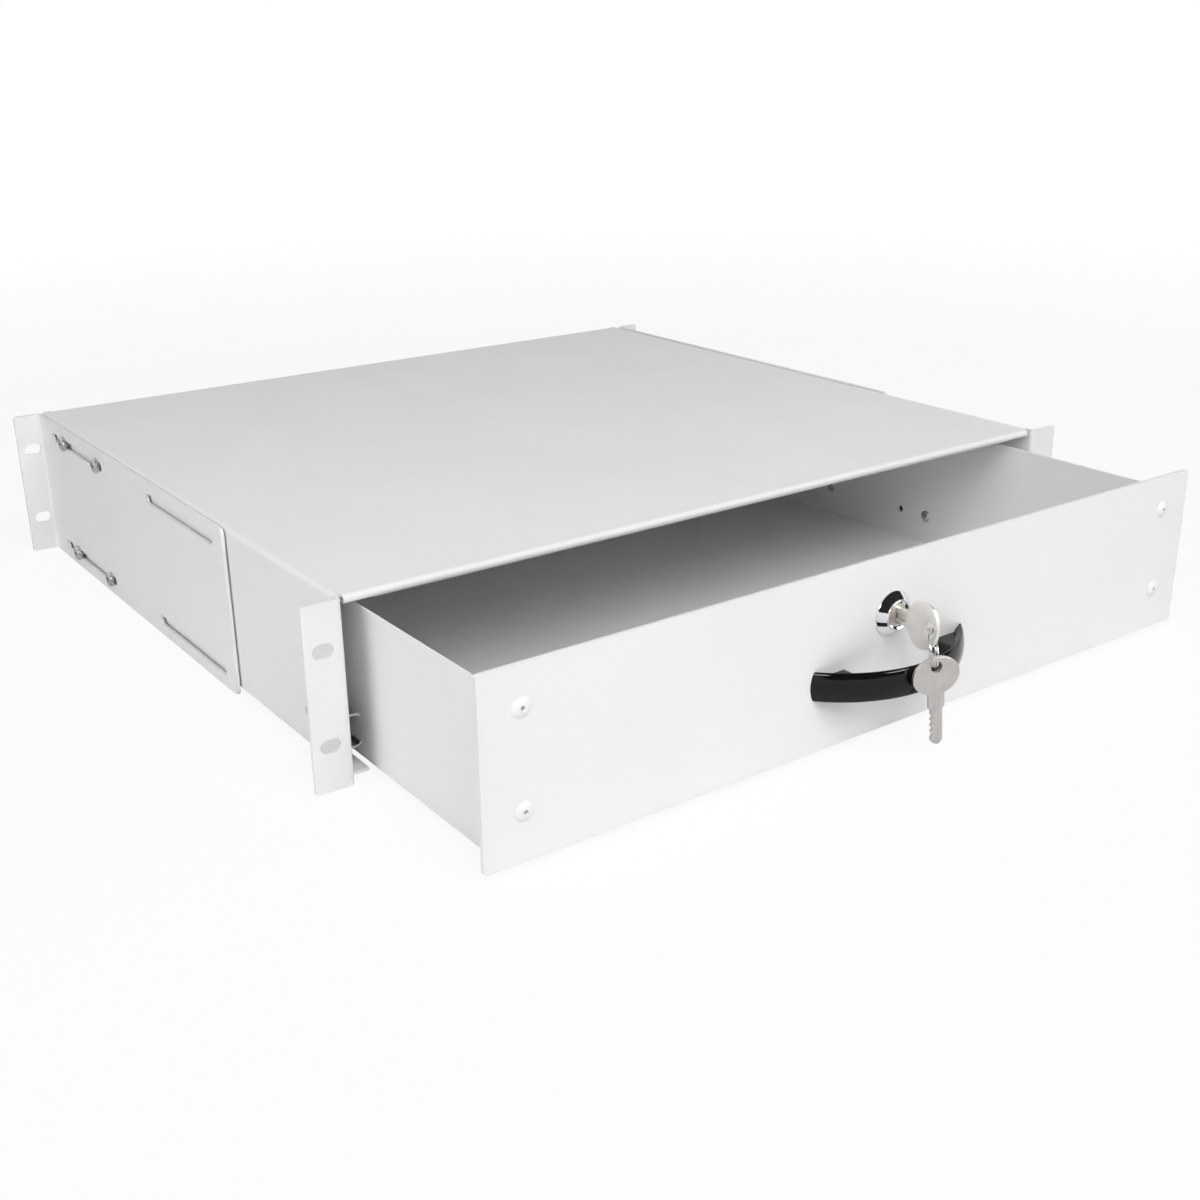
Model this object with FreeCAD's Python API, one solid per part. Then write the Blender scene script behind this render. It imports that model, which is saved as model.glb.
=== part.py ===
import FreeCAD, Part
import math
import os

Vector = FreeCAD.Vector

# A lockable drawer for a 19 inch rack, two rack units high, drawn partly open.
# Millimetres. X runs to the right as seen from the front, Y runs to the rear, Z runs up.
# The origin is the centre of the four slots in the front ears, on the ears' rear face.

# Rack standard
ear_span = 482.6
ear_slot_inset = 8.75
hole_spacing_z = 44.45
ear_height = 87.3
ear_slot_length = 10.0
ear_slot_width = 6.8
ear_corner = 1.5

# Casing: one folded sheet with ears in front, lips below and a rolled hem on the top's front edge
casing_sheet = 1.5
ear_reach = 17.8
casing_rise = 2.2
casing_rear_y = 408.5
bend_radius = 1.0
fold_run = 6.0
lip_width = 10.5
hem_front_y = 1.0
hem_height = 4.4
hem_depth = 15.5
hem_end_gap = 2.0
hem_cutback = 15.0
hem_end_height = 3.6
relief_radius = 1.1
rear_lip_height = 14.0
rear_lip_end_gap = 4.0

# Drawer: tray, front panel and how far it stands open
drawer_open = 103.0
tray_sheet = 1.2
tray_top_gap = 9.0
tray_rear_gap = 22.0
tray_flange = 20.0
panel_sheet = 2.0
panel_side_gap = 2.0
panel_rise = 0.8
panel_top_rise = 0.5
panel_corner = 1.5
tray_drop = 1.0

# Ball slides, one each side between casing and tray
slide_thickness = 12.0
slide_sheet = 1.1
slide_rise = 18.75
ball_radius = 1.7
ball_clearance = 0.1
ball_offset_z = 5.4
ball_depth = 6.0
ball_count = 7
outer_lip_angle = 70.0
inner_lip_angle = 55.0
cabinet_rail_front_y = 7.5
cabinet_rail_rear_gap = 51.0
drawer_rail_setback = 152.0
drawer_rail_length = 200.0
cage_length = 70.0
cage_sheet = 0.6
cage_web_depth = 2.6
cage_tab_reach = 8.0
cage_closed_lead = 3.0
front_stop_offset = 20.5
stop_half_height = 1.5
stop_length = 2.0
stop_gap = 0.5

# Rivets that hold the slides
rail_rivet_radius = 1.6
rail_rivet_head_radius = 2.6
rail_rivet_head_height = 0.6
rail_rivet_tail_radius = 2.4
rail_rivet_tail_height = 1.2
cabinet_rivet_front_offset = 31.0
cabinet_rivet_rear_offset = 25.0
cabinet_rivet_count = 3
drawer_rivet_offset = 16.0
drawer_rivet_count = 3
drawer_rivet_dome_radius = 3.7
drawer_rivet_dome_height = 1.4
drawer_rivet_tail_radius = 2.1
spare_hole_radius = 1.9
spare_hole_offset = 37.0

# Rear brackets, adjustable along the rack's depth
bracket_sheet = 1.8
bracket_length = 287.3
bracket_ear_setback = 3.7
bracket_corner = 3.0
bracket_slot_length = 90.0
bracket_slot_width = 5.5
bracket_slot_inset = 9.05
front_slot_offset = 57.25
rear_slot_offset = 69.05

# Bracket screws and the rivet nuts that they thread into
bracket_screw_radius = 2.45
bracket_screw_head_radius = 4.4
bracket_screw_head_height = 2.6
bracket_screw_length = 10.0
front_screw_lead = 8.25
screw_spacing_y = 58.5
nut_flange_radius = 4.6
nut_flange = 1.0
nut_barrel_radius = 3.4
nut_length = 9.5
thread_clearance = 0.05
hole_clearance = 0.1
recess_width = 1.0
recess_span = 4.2
recess_depth = 1.2
pan_crown = 0.6

# Blind rivets that hold the panel to the tray
panel_rivet_inset = 9.5
panel_rivet_rise = 22.2
panel_rivet_drop = 8.7
panel_rivet_head_radius = 4.5
panel_rivet_head_height = 1.4
panel_rivet_radius = 2.0
panel_rivet_bore = 1.0
panel_rivet_bulb_radius = 2.8
panel_rivet_bulb_length = 3.0

# Bow handle
handle_drop = 23.8
handle_height = 14.2
handle_reach = 23.5
handle_thickness = 4.5
handle_outer_radius = 64.0
handle_foot = 5.58
handle_crown = 1.6
handle_edge = 0.6
handle_rear_bevel = 1.8
handle_foot_block_inner = 26.4
handle_foot_block_outer = 44.0
handle_foot_block_height = 7.2
handle_screw_x = 37.0
handle_screw_radius = 2.0
handle_screw_depth = 8.0
handle_screw_head_radius = 3.9
handle_screw_head_height = 2.4

# Cam lock
lock_drop = 27.7
bezel_radius = 10.9
bezel_land = 0.6
bezel_ring_radius = 7.4
bezel_height = 4.3
bezel_mouth_radius = 6.5
barrel_radius = 8.0
barrel_flat_width = 13.5
barrel_length = 19.0
plug_radius = 5.5
plug_clearance = 0.06
plug_recess = 1.2
lock_nut_across = 22.0
lock_nut_height = 3.0
tenon_width = 6.0
cam_sheet = 2.0
cam_width = 12.0
cam_hub_radius = 7.5
cam_clearance = 0.8
cam_screw_radius = 1.65
cam_screw_length = 4.0
cam_screw_head_radius = 4.2
cam_screw_head_height = 2.2
wafer_count = 4
wafer_sheet = 0.9
wafer_pitch = 2.6
wafer_first = 3.6
wafer_width = 5.2
wafer_window_margin = 0.25
wafer_slot_clearance = 0.08

# Keys and their split ring
key_sheet = 2.0
key_bow_length = 18.4
key_bow_width = 23.2
key_hole_radius = 2.75
key_hole_edge = 4.8
key_neck_width = 7.8
key_neck_length = 6.2
key_blade_width = 6.2
key_blade_length = 18.5
key_groove_width = 1.8
key_groove_depth = 0.45
key_groove_end = 5.0
key_bit_radius = 1.3
key_bit_depth = 0.7
key_bit_first = 4.5
key_bit_pitch = 3.0
key_bit_count = 4
key_clearance = 0.2
key_end_clearance = 0.3
ring_wire_radius = 0.5
ring_coil_pitch = 0.95
ring_plane_angle = 36.0
spare_hole_x = -1.0
spare_hole_gap = 4.8
spare_hole_drop = 16.4
spare_key_angle = -18.0
spare_key_lean = 4.5

# Places that follow from the sizes above
hole_spacing_x = ear_span - 2 * ear_slot_inset
casing_width = ear_span - 2 * ear_reach
casing_top_z = ear_height / 2
casing_bottom_z = casing_rise - ear_height / 2
casing_inner_x = casing_width / 2 - casing_sheet
shell_front_y = hem_front_y + hem_height / 2
tray_half_width = casing_inner_x - slide_thickness
panel_front_y = -casing_sheet - drawer_open
panel_back_y = panel_front_y + panel_sheet
panel_half_width = casing_inner_x - panel_side_gap
panel_bottom_z = casing_bottom_z + panel_rise
panel_top_z = casing_top_z + panel_top_rise
panel_rivet_x = tray_half_width - panel_rivet_inset
panel_rivet_low_z = panel_bottom_z + panel_rivet_rise
tray_bottom_z = panel_bottom_z - tray_drop
tray_top_z = casing_top_z - tray_top_gap
panel_rivet_high_z = tray_top_z - panel_rivet_drop
tray_depth = casing_rear_y - tray_rear_gap + casing_sheet - panel_sheet
tray_rear_y = panel_back_y + tray_depth
race_radius = ball_radius + ball_clearance
race_mid_radius = race_radius + slide_sheet / 2
bracket_inner_x = casing_width / 2 + nut_flange
bracket_outer_x = bracket_inner_x + bracket_sheet
bracket_ear_y = casing_rear_y - bracket_ear_setback
bracket_front_y = bracket_ear_y - bracket_length
bracket_slot_z = ear_height / 2 - bracket_slot_inset
front_slot_y = bracket_front_y + front_slot_offset
rear_slot_y = bracket_ear_y - rear_slot_offset
front_screw_y = rear_slot_y - bracket_slot_length / 2 + front_screw_lead
slide_z = casing_bottom_z + slide_rise
cabinet_rail_length = casing_rear_y - cabinet_rail_rear_gap - cabinet_rail_front_y
cabinet_rivet_run = cabinet_rail_length - cabinet_rivet_front_offset - cabinet_rivet_rear_offset
drawer_rivet_run = drawer_rail_length - 2 * drawer_rivet_offset
drawer_rail_front_y = panel_front_y + drawer_rail_setback
cage_closed_y = -casing_sheet + drawer_rail_setback + cage_closed_lead
front_stop_y = cabinet_rail_front_y + front_stop_offset
rear_stop_y = cage_closed_y + cage_length + stop_gap
lock_z = casing_top_z - lock_drop
plug_face_y = panel_front_y - bezel_height + plug_recess
barrel_rear_y = panel_front_y + barrel_length
handle_z = lock_z - handle_drop
handle_bottom_z = handle_z - handle_height / 2
handle_half_chord = math.sqrt(handle_outer_radius ** 2 - (handle_outer_radius - handle_reach) ** 2)
handle_gap = handle_reach - handle_thickness
handle_inner_radius = ((handle_half_chord - handle_foot) ** 2 + handle_gap ** 2) / (2 * handle_gap)
plug_bore_radius = plug_radius + plug_clearance

sides = {"left": -1, "right": 1}


def block(x_ends, y_ends, z_ends):
    """Rectangular block between two values on each axis."""
    low = Vector(min(x_ends), min(y_ends), min(z_ends))
    high = Vector(max(x_ends), max(y_ends), max(z_ends))
    size = high - low
    return Part.makeBox(size.x, size.y, size.z, low)


def rod(radius, start, end):
    """Round bar from start to end."""
    along = end - start
    return Part.makeCylinder(radius, along.Length, start, along)


def slot_cutter(centre, length, width, run, through, reach):
    """Cutter for a slot with half-round ends, long along run, reaching both ways along through."""
    radius = width / 2
    side = through.cross(run) * radius
    half_run = run * (length / 2 - radius)
    cap = run * (length / 2)
    base = centre - through * reach
    left_low = base - half_run + side
    left_high = base + half_run + side
    right_low = base - half_run - side
    right_high = base + half_run - side
    outline = Part.Wire([
        Part.LineSegment(left_low, left_high).toShape(),
        Part.Arc(left_high, base + cap, right_high).toShape(),
        Part.LineSegment(right_high, right_low).toShape(),
        Part.Arc(right_low, base - cap, left_low).toShape(),
    ])
    return Part.Face(outline).extrude(through * (2 * reach))


def direction(start, end):
    """Unit vector from start to end."""
    return Vector(end - start).normalize()


def sheet_side(mid_line, inner_radii, thickness, offset, axis):
    """Edges of one face of a folded sheet, offset to the left of its middle line."""
    edges = []
    start = mid_line[0] + axis.cross(direction(mid_line[0], mid_line[1])) * offset
    corners = zip(mid_line, mid_line[1:], mid_line[2:], inner_radii)
    for before, corner, after, inner_radius in corners:
        into = direction(before, corner)
        away = direction(corner, after)
        half_turn = into.getAngle(away) / 2
        mid_radius = inner_radius + thickness / 2
        setback = mid_radius * math.tan(half_turn)
        inward = Vector(away - into).normalize()
        centre = corner + inward * (mid_radius / math.cos(half_turn))
        first = corner - into * setback + axis.cross(into) * offset
        last = corner + away * setback + axis.cross(away) * offset
        middle = centre - inward * (first - centre).Length
        add_line(edges, start, first)
        edges.append(Part.Arc(first, middle, last).toShape())
        start = last
    end = mid_line[-1] + axis.cross(direction(mid_line[-2], mid_line[-1])) * offset
    add_line(edges, start, end)
    return edges


def add_line(edges, start, end):
    """Add a straight edge, unless its ends meet."""
    if (end - start).Length > 1e-6:
        edges.append(Part.LineSegment(start, end).toShape())


def folded_sheet(mid_line, inner_radii, thickness, sweep):
    """Sheet of one thickness along a middle line with round bends, carried along sweep."""
    axis = Vector(sweep).normalize()
    near = sheet_side(mid_line, inner_radii, thickness, thickness / 2, axis)
    far = sheet_side(mid_line, inner_radii, thickness, -thickness / 2, axis)
    start_cap = axis.cross(direction(mid_line[0], mid_line[1])) * (thickness / 2)
    end_cap = axis.cross(direction(mid_line[-2], mid_line[-1])) * (thickness / 2)
    first_end = Part.LineSegment(mid_line[0] - start_cap, mid_line[0] + start_cap).toShape()
    last_end = Part.LineSegment(mid_line[-1] + end_cap, mid_line[-1] - end_cap).toShape()
    outline = Part.Wire([first_end] + near + [last_end] + far[::-1])
    return Part.Face(outline).extrude(sweep)


def join(first, others):
    """One solid from pieces that touch or overlap."""
    return first.multiFuse(others).removeSplitter()


def mirrored(shape, side):
    """The right-hand shape itself, or its mirror image for the left."""
    if side > 0:
        return shape
    return shape.mirror(Vector(0, 0, 0), Vector(1, 0, 0))


def placed(shape, origin, x_axis, y_axis):
    """Shape drawn about its own X and Y axes, moved to an origin and turned to two axes."""
    turn = FreeCAD.Rotation(x_axis, y_axis, x_axis.cross(y_axis), "XYZ")
    matrix = FreeCAD.Placement(origin, turn).toMatrix()
    return shape.transformed(matrix)


def on_both_sides(make):
    """Left and right copies of a group of right-hand solids."""
    return {name: [mirrored(solid, side) for solid in make()] for name, side in sides.items()}


def save(name, solids):
    """Write one named piece, or one group of like pieces."""
    shape = solids[0] if len(solids) == 1 else Part.makeCompound(solids)
    shape.exportStep(f"parts/{name}.step")


# Casing


def ear_slots(y):
    """Cutters for the four rack slots at a depth y."""
    cutters = []
    for x in (-hole_spacing_x / 2, hole_spacing_x / 2):
        for z in (-hole_spacing_z / 2, hole_spacing_z / 2):
            centre = Vector(x, y, z)
            cutters.append(slot_cutter(centre, ear_slot_length, ear_slot_width,
                                       Vector(1, 0, 0), Vector(0, 1, 0), 3 * casing_sheet))
    return cutters


def casing_ear():
    """Right-hand ear, folded outward from the side wall."""
    side_x = casing_width / 2 - casing_sheet / 2
    low_z = -ear_height / 2
    line = [
        Vector(side_x, shell_front_y + casing_sheet, low_z),
        Vector(side_x, -casing_sheet / 2, low_z),
        Vector(ear_span / 2, -casing_sheet / 2, low_z),
    ]
    ear = folded_sheet(line, [bend_radius], casing_sheet, Vector(0, 0, ear_height))
    tips = [edge for edge in ear.Edges
            if edge.BoundBox.XMin > ear_span / 2 - 1e-3 and edge.BoundBox.YLength > casing_sheet / 2]
    return ear.makeFillet(ear_corner, tips)


def casing_hem():
    """Rolled hem along the top's front edge: a half-round nose and a return leg below the top."""
    roll_radius = hem_height / 2 - casing_sheet
    nose_y = hem_front_y + casing_sheet / 2
    high_z = casing_top_z - casing_sheet / 2
    low_z = casing_top_z - hem_height + casing_sheet / 2
    half_length = casing_inner_x - hem_end_gap
    line = [
        Vector(-half_length, shell_front_y + casing_sheet, high_z),
        Vector(-half_length, nose_y, high_z),
        Vector(-half_length, nose_y, low_z),
        Vector(-half_length, hem_front_y + hem_depth, low_z),
    ]
    hem = folded_sheet(line, [roll_radius, roll_radius], casing_sheet, Vector(2 * half_length, 0, 0))
    y_ends = (hem_front_y - 1, hem_front_y + hem_depth + 1)
    z_ends = (casing_top_z - hem_height - 1, casing_top_z - hem_end_height)
    for side in sides.values():
        x_ends = (side * (half_length - hem_cutback), side * (half_length + 1))
        hem = hem.cut(block(x_ends, y_ends, z_ends))
    return hem


def casing_rear_lip():
    """Lip folded down along the top's rear edge."""
    half_length = casing_inner_x - rear_lip_end_gap
    top_mid_z = casing_top_z - casing_sheet / 2
    rear_mid_y = casing_rear_y - casing_sheet / 2
    line = [
        Vector(-half_length, rear_mid_y - fold_run, top_mid_z),
        Vector(-half_length, rear_mid_y, top_mid_z),
        Vector(-half_length, rear_mid_y, casing_top_z - rear_lip_height),
    ]
    return folded_sheet(line, [bend_radius], casing_sheet, Vector(2 * half_length, 0, 0))


def casing_shell():
    """Top, sides and bottom lips as one folded section, open below."""
    side_x = casing_width / 2 - casing_sheet / 2
    lip_x = casing_width / 2 - lip_width
    top_mid_z = casing_top_z - casing_sheet / 2
    lip_mid_z = casing_bottom_z + casing_sheet / 2
    line = [
        Vector(-lip_x, shell_front_y, lip_mid_z),
        Vector(-side_x, shell_front_y, lip_mid_z),
        Vector(-side_x, shell_front_y, top_mid_z),
        Vector(side_x, shell_front_y, top_mid_z),
        Vector(side_x, shell_front_y, lip_mid_z),
        Vector(lip_x, shell_front_y, lip_mid_z),
    ]
    depth = Vector(0, casing_rear_y - shell_front_y, 0)
    shell = folded_sheet(line, [bend_radius] * 4, casing_sheet, depth)
    half_length = casing_inner_x - rear_lip_end_gap
    rear_fold = casing_sheet + bend_radius
    rear_notch = block((-half_length, half_length), (casing_rear_y - rear_fold, casing_rear_y + 1),
                       (casing_top_z - rear_fold, casing_top_z + 1))
    return shell.cut(rear_notch)


def casing_side_holes():
    """Cutters through both side walls for the rivet nuts and the slide rivets."""
    cutters = []
    wall_in = casing_inner_x - casing_sheet
    wall_out = casing_width / 2 + casing_sheet
    for side in sides.values():
        for y, z in bracket_screw_places():
            cutters.append(rod(nut_barrel_radius + hole_clearance,
                               Vector(side * wall_in, y, z), Vector(side * wall_out, y, z)))
        for y in cabinet_rivet_places():
            cutters.append(rod(rail_rivet_radius + hole_clearance,
                               Vector(side * wall_in, y, slide_z), Vector(side * wall_out, y, slide_z)))
    return cutters


def make_casing():
    """The whole casing with its slots, holes and corner reliefs."""
    ears = [mirrored(casing_ear(), side) for side in sides.values()]
    casing = join(casing_shell(), ears + [casing_hem(), casing_rear_lip()])
    relief_x = casing_inner_x - hem_end_gap / 2
    reliefs = []
    for side in sides.values():
        foot = Vector(side * relief_x, shell_front_y + relief_radius / 2, casing_top_z - hem_height)
        reliefs.append(rod(relief_radius, foot, foot + Vector(0, 0, 2 * hem_height)))
    return casing.cut(ear_slots(-casing_sheet / 2) + casing_side_holes() + reliefs)


# Rear brackets, their screws and rivet nuts


def bracket_screw_places():
    """Depth and height of the four screws on one side."""
    places = []
    for y in (front_screw_y, front_screw_y + screw_spacing_y):
        for z in (-bracket_slot_z, bracket_slot_z):
            places.append((y, z))
    return places


def make_bracket():
    """Right-hand bracket: a flat plate beside the casing with an ear folded outward behind."""
    plate_x = bracket_inner_x + bracket_sheet / 2
    ear_mid_y = bracket_ear_y + bracket_sheet / 2
    low_z = -ear_height / 2
    line = [
        Vector(plate_x, bracket_front_y, low_z),
        Vector(plate_x, ear_mid_y, low_z),
        Vector(ear_span / 2, ear_mid_y, low_z),
    ]
    bracket = folded_sheet(line, [bend_radius], bracket_sheet, Vector(0, 0, ear_height))
    front_corners = [edge for edge in bracket.Edges
                     if edge.BoundBox.YMax < bracket_front_y + 1e-3
                     and edge.BoundBox.XLength > bracket_sheet / 2]
    bracket = bracket.makeFillet(bracket_corner, front_corners)
    ear_tips = [edge for edge in bracket.Edges
                if edge.BoundBox.XMin > ear_span / 2 - 1e-3 and edge.BoundBox.YLength > bracket_sheet / 2]
    bracket = bracket.makeFillet(ear_corner, ear_tips)
    slots = []
    for y in (front_slot_y, rear_slot_y):
        for z in (-bracket_slot_z, bracket_slot_z):
            slots.append(slot_cutter(Vector(plate_x, y, z), bracket_slot_length, bracket_slot_width,
                                     Vector(0, 1, 0), Vector(1, 0, 0), 2 * bracket_sheet))
    return [bracket.cut(slots + ear_slots(ear_mid_y))]


def cross_recess(face, inward):
    """Cutter for a cross recess that starts at a screw head's face and goes inward."""
    across = inward.cross(Vector(0, 0, 1))
    arms = []
    for long_axis, short_axis in ((across, Vector(0, 0, 1)), (Vector(0, 0, 1), across)):
        corner = face - long_axis * (recess_span / 2) - short_axis * (recess_width / 2)
        opposite = corner + long_axis * recess_span + short_axis * recess_width + inward * recess_depth
        arms.append(block((corner.x, opposite.x), (corner.y, opposite.y), (corner.z, opposite.z)))
    return arms[0].fuse(arms[1])


def pan_screw(seat, inward, shank_radius, length, head_radius, head_height):
    """Screw with a low domed head: seat is the centre of the head's underside."""
    outward = inward * -1
    head = rod(head_radius, seat, seat + outward * head_height)
    crown = [edge for edge in head.Edges
             if edge.isClosed() and (edge.CenterOfMass - seat).Length > head_height / 2]
    head = head.makeFillet(head_height * pan_crown, crown)
    shank = rod(shank_radius, seat, seat + inward * length)
    screw = join(head, [shank])
    return screw.cut(cross_recess(seat + outward * head_height, inward))


def make_bracket_screws():
    """Four right-hand screws through the bracket's rear slots."""
    screws = []
    for y, z in bracket_screw_places():
        screws.append(pan_screw(Vector(bracket_outer_x, y, z), Vector(-1, 0, 0), bracket_screw_radius,
                                bracket_screw_length, bracket_screw_head_radius,
                                bracket_screw_head_height))
    return screws


def make_rivet_nuts():
    """Four right-hand rivet nuts: a flange outside the wall and a threaded barrel inside it."""
    nuts = []
    wall_x = casing_width / 2
    bore_radius = bracket_screw_radius + thread_clearance
    for y, z in bracket_screw_places():
        flange = rod(nut_flange_radius, Vector(wall_x, y, z), Vector(bracket_inner_x, y, z))
        barrel = rod(nut_barrel_radius, Vector(wall_x - nut_length, y, z), Vector(bracket_inner_x, y, z))
        bore = rod(bore_radius, Vector(wall_x - nut_length - 1, y, z), Vector(bracket_inner_x + 1, y, z))
        nuts.append(join(flange, [barrel]).cut(bore))
    return nuts


# Ball slides


def slide_point(depth, height, y):
    """Point of the right-hand slide: depth inward from the casing wall, height above its middle."""
    return Vector(casing_inner_x - depth, y, slide_z + height)


def cabinet_rivet_places():
    """Depths of the rivets that hold the cabinet rail."""
    first = cabinet_rail_front_y + cabinet_rivet_front_offset
    pitch = cabinet_rivet_run / (cabinet_rivet_count - 1)
    return [first + index * pitch for index in range(cabinet_rivet_count)]


def drawer_rivet_places():
    """Depths of the rivets that hold the drawer rail."""
    first = drawer_rail_front_y + drawer_rivet_offset
    pitch = drawer_rivet_run / (drawer_rivet_count - 1)
    return [first + index * pitch for index in range(drawer_rivet_count)]


def lip_end(corner, heading, turn):
    """End of a curled lip: the middle line leaves its corner along heading, just past the curl."""
    return corner + heading * (race_mid_radius * math.tan(math.radians(turn / 2)))


def make_cabinet_rail():
    """Outer rail: a web on the casing wall, with both edges curled over the balls."""
    y = cabinet_rail_front_y
    high = ball_offset_z + race_mid_radius
    turn = math.radians(outer_lip_angle)
    corner_depth = ball_depth + race_mid_radius * math.tan(turn / 2)
    upper_corner = slide_point(corner_depth, high, y)
    lower_corner = slide_point(corner_depth, -high, y)
    upper_heading = Vector(-math.cos(turn), 0, -math.sin(turn))
    lower_heading = Vector(-math.cos(turn), 0, math.sin(turn))
    line = [
        lip_end(lower_corner, lower_heading, outer_lip_angle),
        lower_corner,
        slide_point(slide_sheet / 2, -high, y),
        slide_point(slide_sheet / 2, high, y),
        upper_corner,
        lip_end(upper_corner, upper_heading, outer_lip_angle),
    ]
    radii = [race_radius, slide_sheet, slide_sheet, race_radius]
    rail = folded_sheet(line, radii, slide_sheet, Vector(0, cabinet_rail_length, 0))
    stops = []
    for stop_y in (front_stop_y, rear_stop_y):
        low = slide_point(slide_sheet / 2, -stop_half_height, stop_y)
        top = slide_point(cage_web_depth + cage_sheet / 2, stop_half_height, stop_y + stop_length)
        stops.append(block((low.x, top.x), (low.y, top.y), (low.z, top.z)))
    holes = [rod(rail_rivet_radius + hole_clearance, slide_point(-1, 0, place),
                 slide_point(slide_sheet + 1, 0, place)) for place in cabinet_rivet_places()]
    return [join(rail, stops).cut(holes)]


def make_drawer_rail():
    """Inner rail: a web on the tray wall, with both edges curled under the balls."""
    y = drawer_rail_front_y
    high = ball_offset_z - race_mid_radius
    turn = math.radians(inner_lip_angle)
    corner_depth = ball_depth - race_mid_radius * math.tan(turn / 2)
    upper_corner = slide_point(corner_depth, high, y)
    lower_corner = slide_point(corner_depth, -high, y)
    web_depth = slide_thickness - slide_sheet / 2
    upper_heading = Vector(math.cos(turn), 0, math.sin(turn))
    lower_heading = Vector(math.cos(turn), 0, -math.sin(turn))
    line = [
        lip_end(lower_corner, lower_heading, inner_lip_angle),
        lower_corner,
        slide_point(web_depth, -high, y),
        slide_point(web_depth, high, y),
        upper_corner,
        lip_end(upper_corner, upper_heading, inner_lip_angle),
    ]
    radii = [race_radius, slide_sheet / 2, slide_sheet / 2, race_radius]
    rail = folded_sheet(line, radii, slide_sheet, Vector(0, drawer_rail_length, 0))
    holes = [rod(rail_rivet_radius + hole_clearance, slide_point(slide_thickness + 1, 0, place),
                 slide_point(slide_thickness - slide_sheet - 1, 0, place))
             for place in drawer_rivet_places()]
    spare_y = drawer_rail_front_y + spare_hole_offset
    holes.append(rod(spare_hole_radius, slide_point(slide_thickness + 1, 0, spare_y),
                     slide_point(slide_thickness - slide_sheet - 1, 0, spare_y)))
    return [rail.cut(holes)]


def cage_front_y():
    """Front end of the ball cage: it has come forward by half of the drawer's travel."""
    return cage_closed_y - drawer_open / 2


def ball_places():
    """Depths of the balls along the cage."""
    pitch = cage_length / ball_count
    return [cage_front_y() + pitch * (index + 0.5) for index in range(ball_count)]


def make_ball_cage():
    """Thin channel between the rails, with a pocket for each ball in its two tabs."""
    y = cage_front_y()
    web_depth = cage_web_depth + cage_sheet / 2
    line = [
        slide_point(cage_tab_reach, -ball_offset_z, y),
        slide_point(web_depth, -ball_offset_z, y),
        slide_point(web_depth, ball_offset_z, y),
        slide_point(cage_tab_reach, ball_offset_z, y),
    ]
    cage = folded_sheet(line, [cage_sheet, cage_sheet], cage_sheet, Vector(0, cage_length, 0))
    reach = ball_offset_z + ball_radius
    pockets = [rod(ball_radius + thread_clearance, slide_point(ball_depth, -reach, place),
                   slide_point(ball_depth, reach, place)) for place in ball_places()]
    return [cage.cut(pockets)]


def make_balls():
    """Two rows of steel balls."""
    balls = []
    for place in ball_places():
        for height in (-ball_offset_z, ball_offset_z):
            balls.append(Part.makeSphere(ball_radius, slide_point(ball_depth, height, place)))
    return balls


def make_cabinet_rail_rivets():
    """Rivets through the casing wall and the cabinet rail, flat on both ends."""
    rivets = []
    for y in cabinet_rivet_places():
        head = rod(rail_rivet_head_radius, slide_point(-casing_sheet - rail_rivet_head_height, 0, y),
                   slide_point(-casing_sheet, 0, y))
        shank = rod(rail_rivet_radius, slide_point(-casing_sheet - rail_rivet_head_height, 0, y),
                    slide_point(slide_sheet + rail_rivet_tail_height, 0, y))
        tail = rod(rail_rivet_tail_radius, slide_point(slide_sheet, 0, y),
                   slide_point(slide_sheet + rail_rivet_tail_height, 0, y))
        rivets.append(join(head, [shank, tail]))
    return rivets


def dome(seat, outward, base_radius, height):
    """Low round cap on a flat seat, part of a ball."""
    ball = (base_radius ** 2 + height ** 2) / (2 * height)
    centre = seat + outward * (height - ball)
    keep = rod(base_radius + 1, seat, seat + outward * (height + 1))
    return Part.makeSphere(ball, centre).common(keep)


def make_drawer_rail_rivets():
    """Rivets through the drawer rail and the tray wall, domed inside the tray."""
    rivets = []
    tail_depth = slide_thickness - slide_sheet
    inside_depth = slide_thickness + tray_sheet
    for y in drawer_rivet_places():
        seat = slide_point(inside_depth, 0, y)
        head = dome(seat, Vector(-1, 0, 0), drawer_rivet_dome_radius, drawer_rivet_dome_height)
        shank = rod(rail_rivet_radius, slide_point(inside_depth + drawer_rivet_dome_height / 2, 0, y),
                    slide_point(tail_depth - rail_rivet_tail_height, 0, y))
        tail = rod(drawer_rivet_tail_radius, slide_point(tail_depth, 0, y),
                   slide_point(tail_depth - rail_rivet_tail_height, 0, y))
        rivets.append(join(head, [shank, tail]))
    return rivets


# Drawer


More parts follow.
